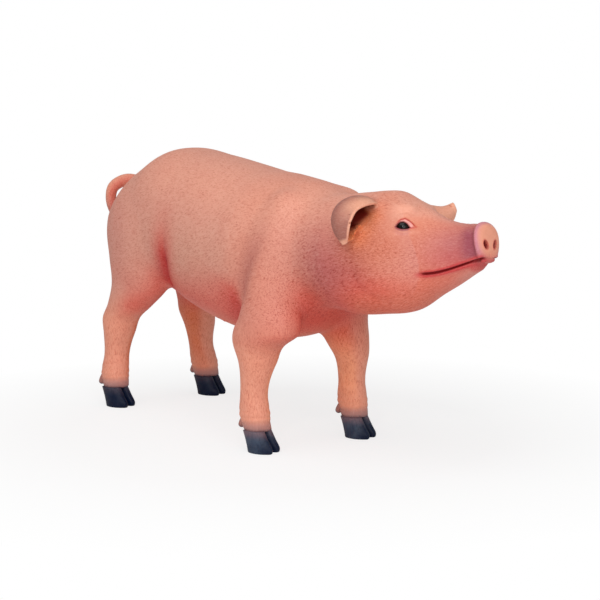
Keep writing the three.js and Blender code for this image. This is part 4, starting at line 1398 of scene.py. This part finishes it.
def dewclaw_points(end, side, outward):
    """One small claw: rings along a line that falls back from the leg, thinner to a round tip. Also each
    point's share of the way along."""
    fall, (root, tip) = DEW["fall"], DEW["radii"]
    a = np.arange(28) * math.tau / 28
    s = np.concatenate([np.linspace(-0.25, 0.7, 9), 0.7 + 0.3 * np.sin(np.linspace(0.2, 1.5, 8))])
    rounding = np.where(s > 0.7, np.sqrt(np.clip(1 - ((s - 0.7) / 0.305) ** 2, 0, 1)), 1)
    radius = ((root + (tip - root) * np.clip(s, 0, 1) ** 2) * rounding)[:, None]
    reach, rise = DEW["length"] * s[:, None], radius * 0.9 * np.cos(a)
    x = ENDS[end] * HOOF_X + DEW["back"] - reach * math.cos(fall) + rise * math.sin(fall)
    y = side * (HOOF_Y + outward * DEW["apart"]) + radius * np.sin(a)
    z = DEW["height"] - reach * math.sin(fall) - rise * math.cos(fall)
    return np.stack([x, y, z], -1), np.append(np.repeat(s, len(a)), (s[0], s[-1]))


class PIG_OT_dewclaws(bpy.types.Operator):
    """Make the eight small claws behind the feet"""
    bl_idname = "pig.dewclaws"
    bl_label = "Dewclaws"

    def execute(self, context):
        paints = paints_of(context)
        finish = dewclaw_finish()
        for end, side, outward, name in each_toe():
            loops, share = dewclaw_points(end, side, outward)
            points, faces = closed_tube(loops)
            paint = np.tile(paints["dewclaw"], (len(points), 1))
            paint = over(paint, paints["slate"], ease(share, 0.35, 1.0))
            piece = add_mesh(f"small_dewclaw_{name}", points, faces, {"paint": paint}, finish)
            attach(piece, BODY)
            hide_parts(f"dewclaw_{name}")
        return {"FINISHED"}


class PIG_OT_studio(bpy.types.Operator):
    """Make the floor, the surround, the lamps and the camera"""
    bl_idname = "pig.studio"
    bl_label = "Studio"

    def execute(self, context):
        studio = context.scene.pig_studio
        right = np.array((math.cos(studio.azimuth), math.sin(studio.azimuth), 0))
        back = np.array((math.sin(studio.azimuth) * math.cos(studio.elevation),
                         -math.cos(studio.azimuth) * math.cos(studio.elevation), math.sin(studio.elevation)))
        target = ORIGIN + right * studio.across + np.array((0, 0, studio.height))
        camera = bpy.data.objects.new("camera", bpy.data.cameras.new("camera"))
        camera.data.lens = studio.lens
        camera.data.sensor_width = 36
        camera.data.clip_end = 100
        camera.location = target + back * studio.distance
        camera.rotation_euler = Vector(back).to_track_quat("Z", "Y").to_euler()
        context.scene.collection.objects.link(camera)
        context.scene.camera = camera
        self.floor()
        self.lamps(context, studio, right, back)
        self.surround(context, studio)
        context.scene.view_settings.view_transform = "Standard"
        return {"FINISHED"}

    def floor(self):
        """A wide sheet under the feet, its height nought everywhere; far from the pig the camera sees it
        as plain white, near it as a pale floor that takes the shadow."""
        rows = 41
        side = np.linspace(-14, 14, rows)
        x, y = np.meshgrid(side, side, indexing="ij")
        points = (np.stack([x, y, x * 0], -1).reshape(-1, 3) - ORIGIN) * 1000
        f = Finish("studio_floor")
        here = f.coordinates()
        away = f.node("VectorMath", {0: here}, out=1, operation="LENGTH")
        lit = f.node("BsdfDiffuse", {"Color": (0.93, 0.93, 0.93, 1)})
        white = f.node("Emission", {"Color": WHITE, "Strength": 1.0})
        seen = f.node("LightPath", out="Is Camera Ray")
        share = (f.remap(away, 0.4, 0.85) * 0.25 + 0.75) * seen
        f.node("OutputMaterial", {"Surface": f.node("MixShader", {0: share, 1: lit, 2: white})})
        floor = add_mesh("floor", points, grid_faces(rows, rows, False)[:, ::-1], {}, f.block)
        floor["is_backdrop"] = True

    def lamps(self, context, studio, right, back):
        """Three round lamps, all turned to the pig's middle: one above, one beside the camera, one small."""
        for name, place, size, power in (
                ("key", (0.6, -1.0, 2.25), 2.2, studio.key),
                ("fill", tuple(back * 2.6 + right * 0.3 + np.array((0, 0, 0.7))), 1.8, studio.fill),
                ("glint", tuple(back * 2.8 - right * 0.5 + np.array((0, 0, 1.3))), 0.27, studio.glint)):
            lamp = bpy.data.objects.new(name, bpy.data.lights.new(name, "AREA"))
            lamp.data.shape = "DISK"
            lamp.data.size = size
            lamp.data.energy = power
            lamp.location = place
            lamp.rotation_euler = (Vector(place) - Vector((0, 0, 0.3))).to_track_quat("Z", "Y").to_euler()
            context.scene.collection.objects.link(lamp)

    def surround(self, context, studio):
        """Even white light from all round, behind which the camera sees plain white."""
        f = Finish("surround", "worlds")
        even = f.node("Background", {"Color": WHITE, "Strength": studio.sky})
        plain = f.node("Background", {"Color": WHITE, "Strength": 1.0})
        seen = f.node("LightPath", out="Is Camera Ray")
        f.node("OutputWorld", {"Surface": f.node("MixShader", {0: seen, 1: even, 2: plain})})
        context.scene.world = f.block


OPERATORS = (PIG_OT_skin, PIG_OT_eyes, PIG_OT_hooves, PIG_OT_dewclaws, PIG_OT_studio)
GROUPS = {"pig_sizes": PigSizes, "pig_paints": PigPaints, "pig_studio": PigStudio}


class PIG_PT_panel(bpy.types.Panel):
    """Lists the pig's pieces, sizes and paints"""
    bl_label = "Painted Resin Pig"
    bl_space_type = "VIEW_3D"
    bl_region_type = "UI"
    bl_category = "Pig"

    def draw(self, context):
        for operator in OPERATORS:
            self.layout.operator(operator.bl_idname)
        for key, group in GROUPS.items():
            box = self.layout.box()
            for name in group.__annotations__:
                box.prop(getattr(context.scene, key), name)


def register():
    for made in (*GROUPS.values(), *OPERATORS, PIG_PT_panel):
        bpy.utils.register_class(made)
    for key, group in GROUPS.items():
        setattr(bpy.types.Scene, key, PointerProperty(type=group))


def unregister():
    for key in GROUPS:
        delattr(bpy.types.Scene, key)
    for made in (PIG_PT_panel, *OPERATORS[::-1], *GROUPS.values()):
        bpy.utils.unregister_class(made)


def corners(box):
    """The lowest and highest corner of a box as plain numbers."""
    return [[float(v) for v in corner] for corner in box]


def main():
    register()
    bpy.ops.pig.studio()
    bpy.ops.pig.skin()
    bpy.ops.pig.eyes()
    bpy.ops.pig.hooves()
    bpy.ops.pig.dewclaws()
    {"cad": corners(CAD_BOX), "visual": corners(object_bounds())}


if __name__ == "__main__":
    main()
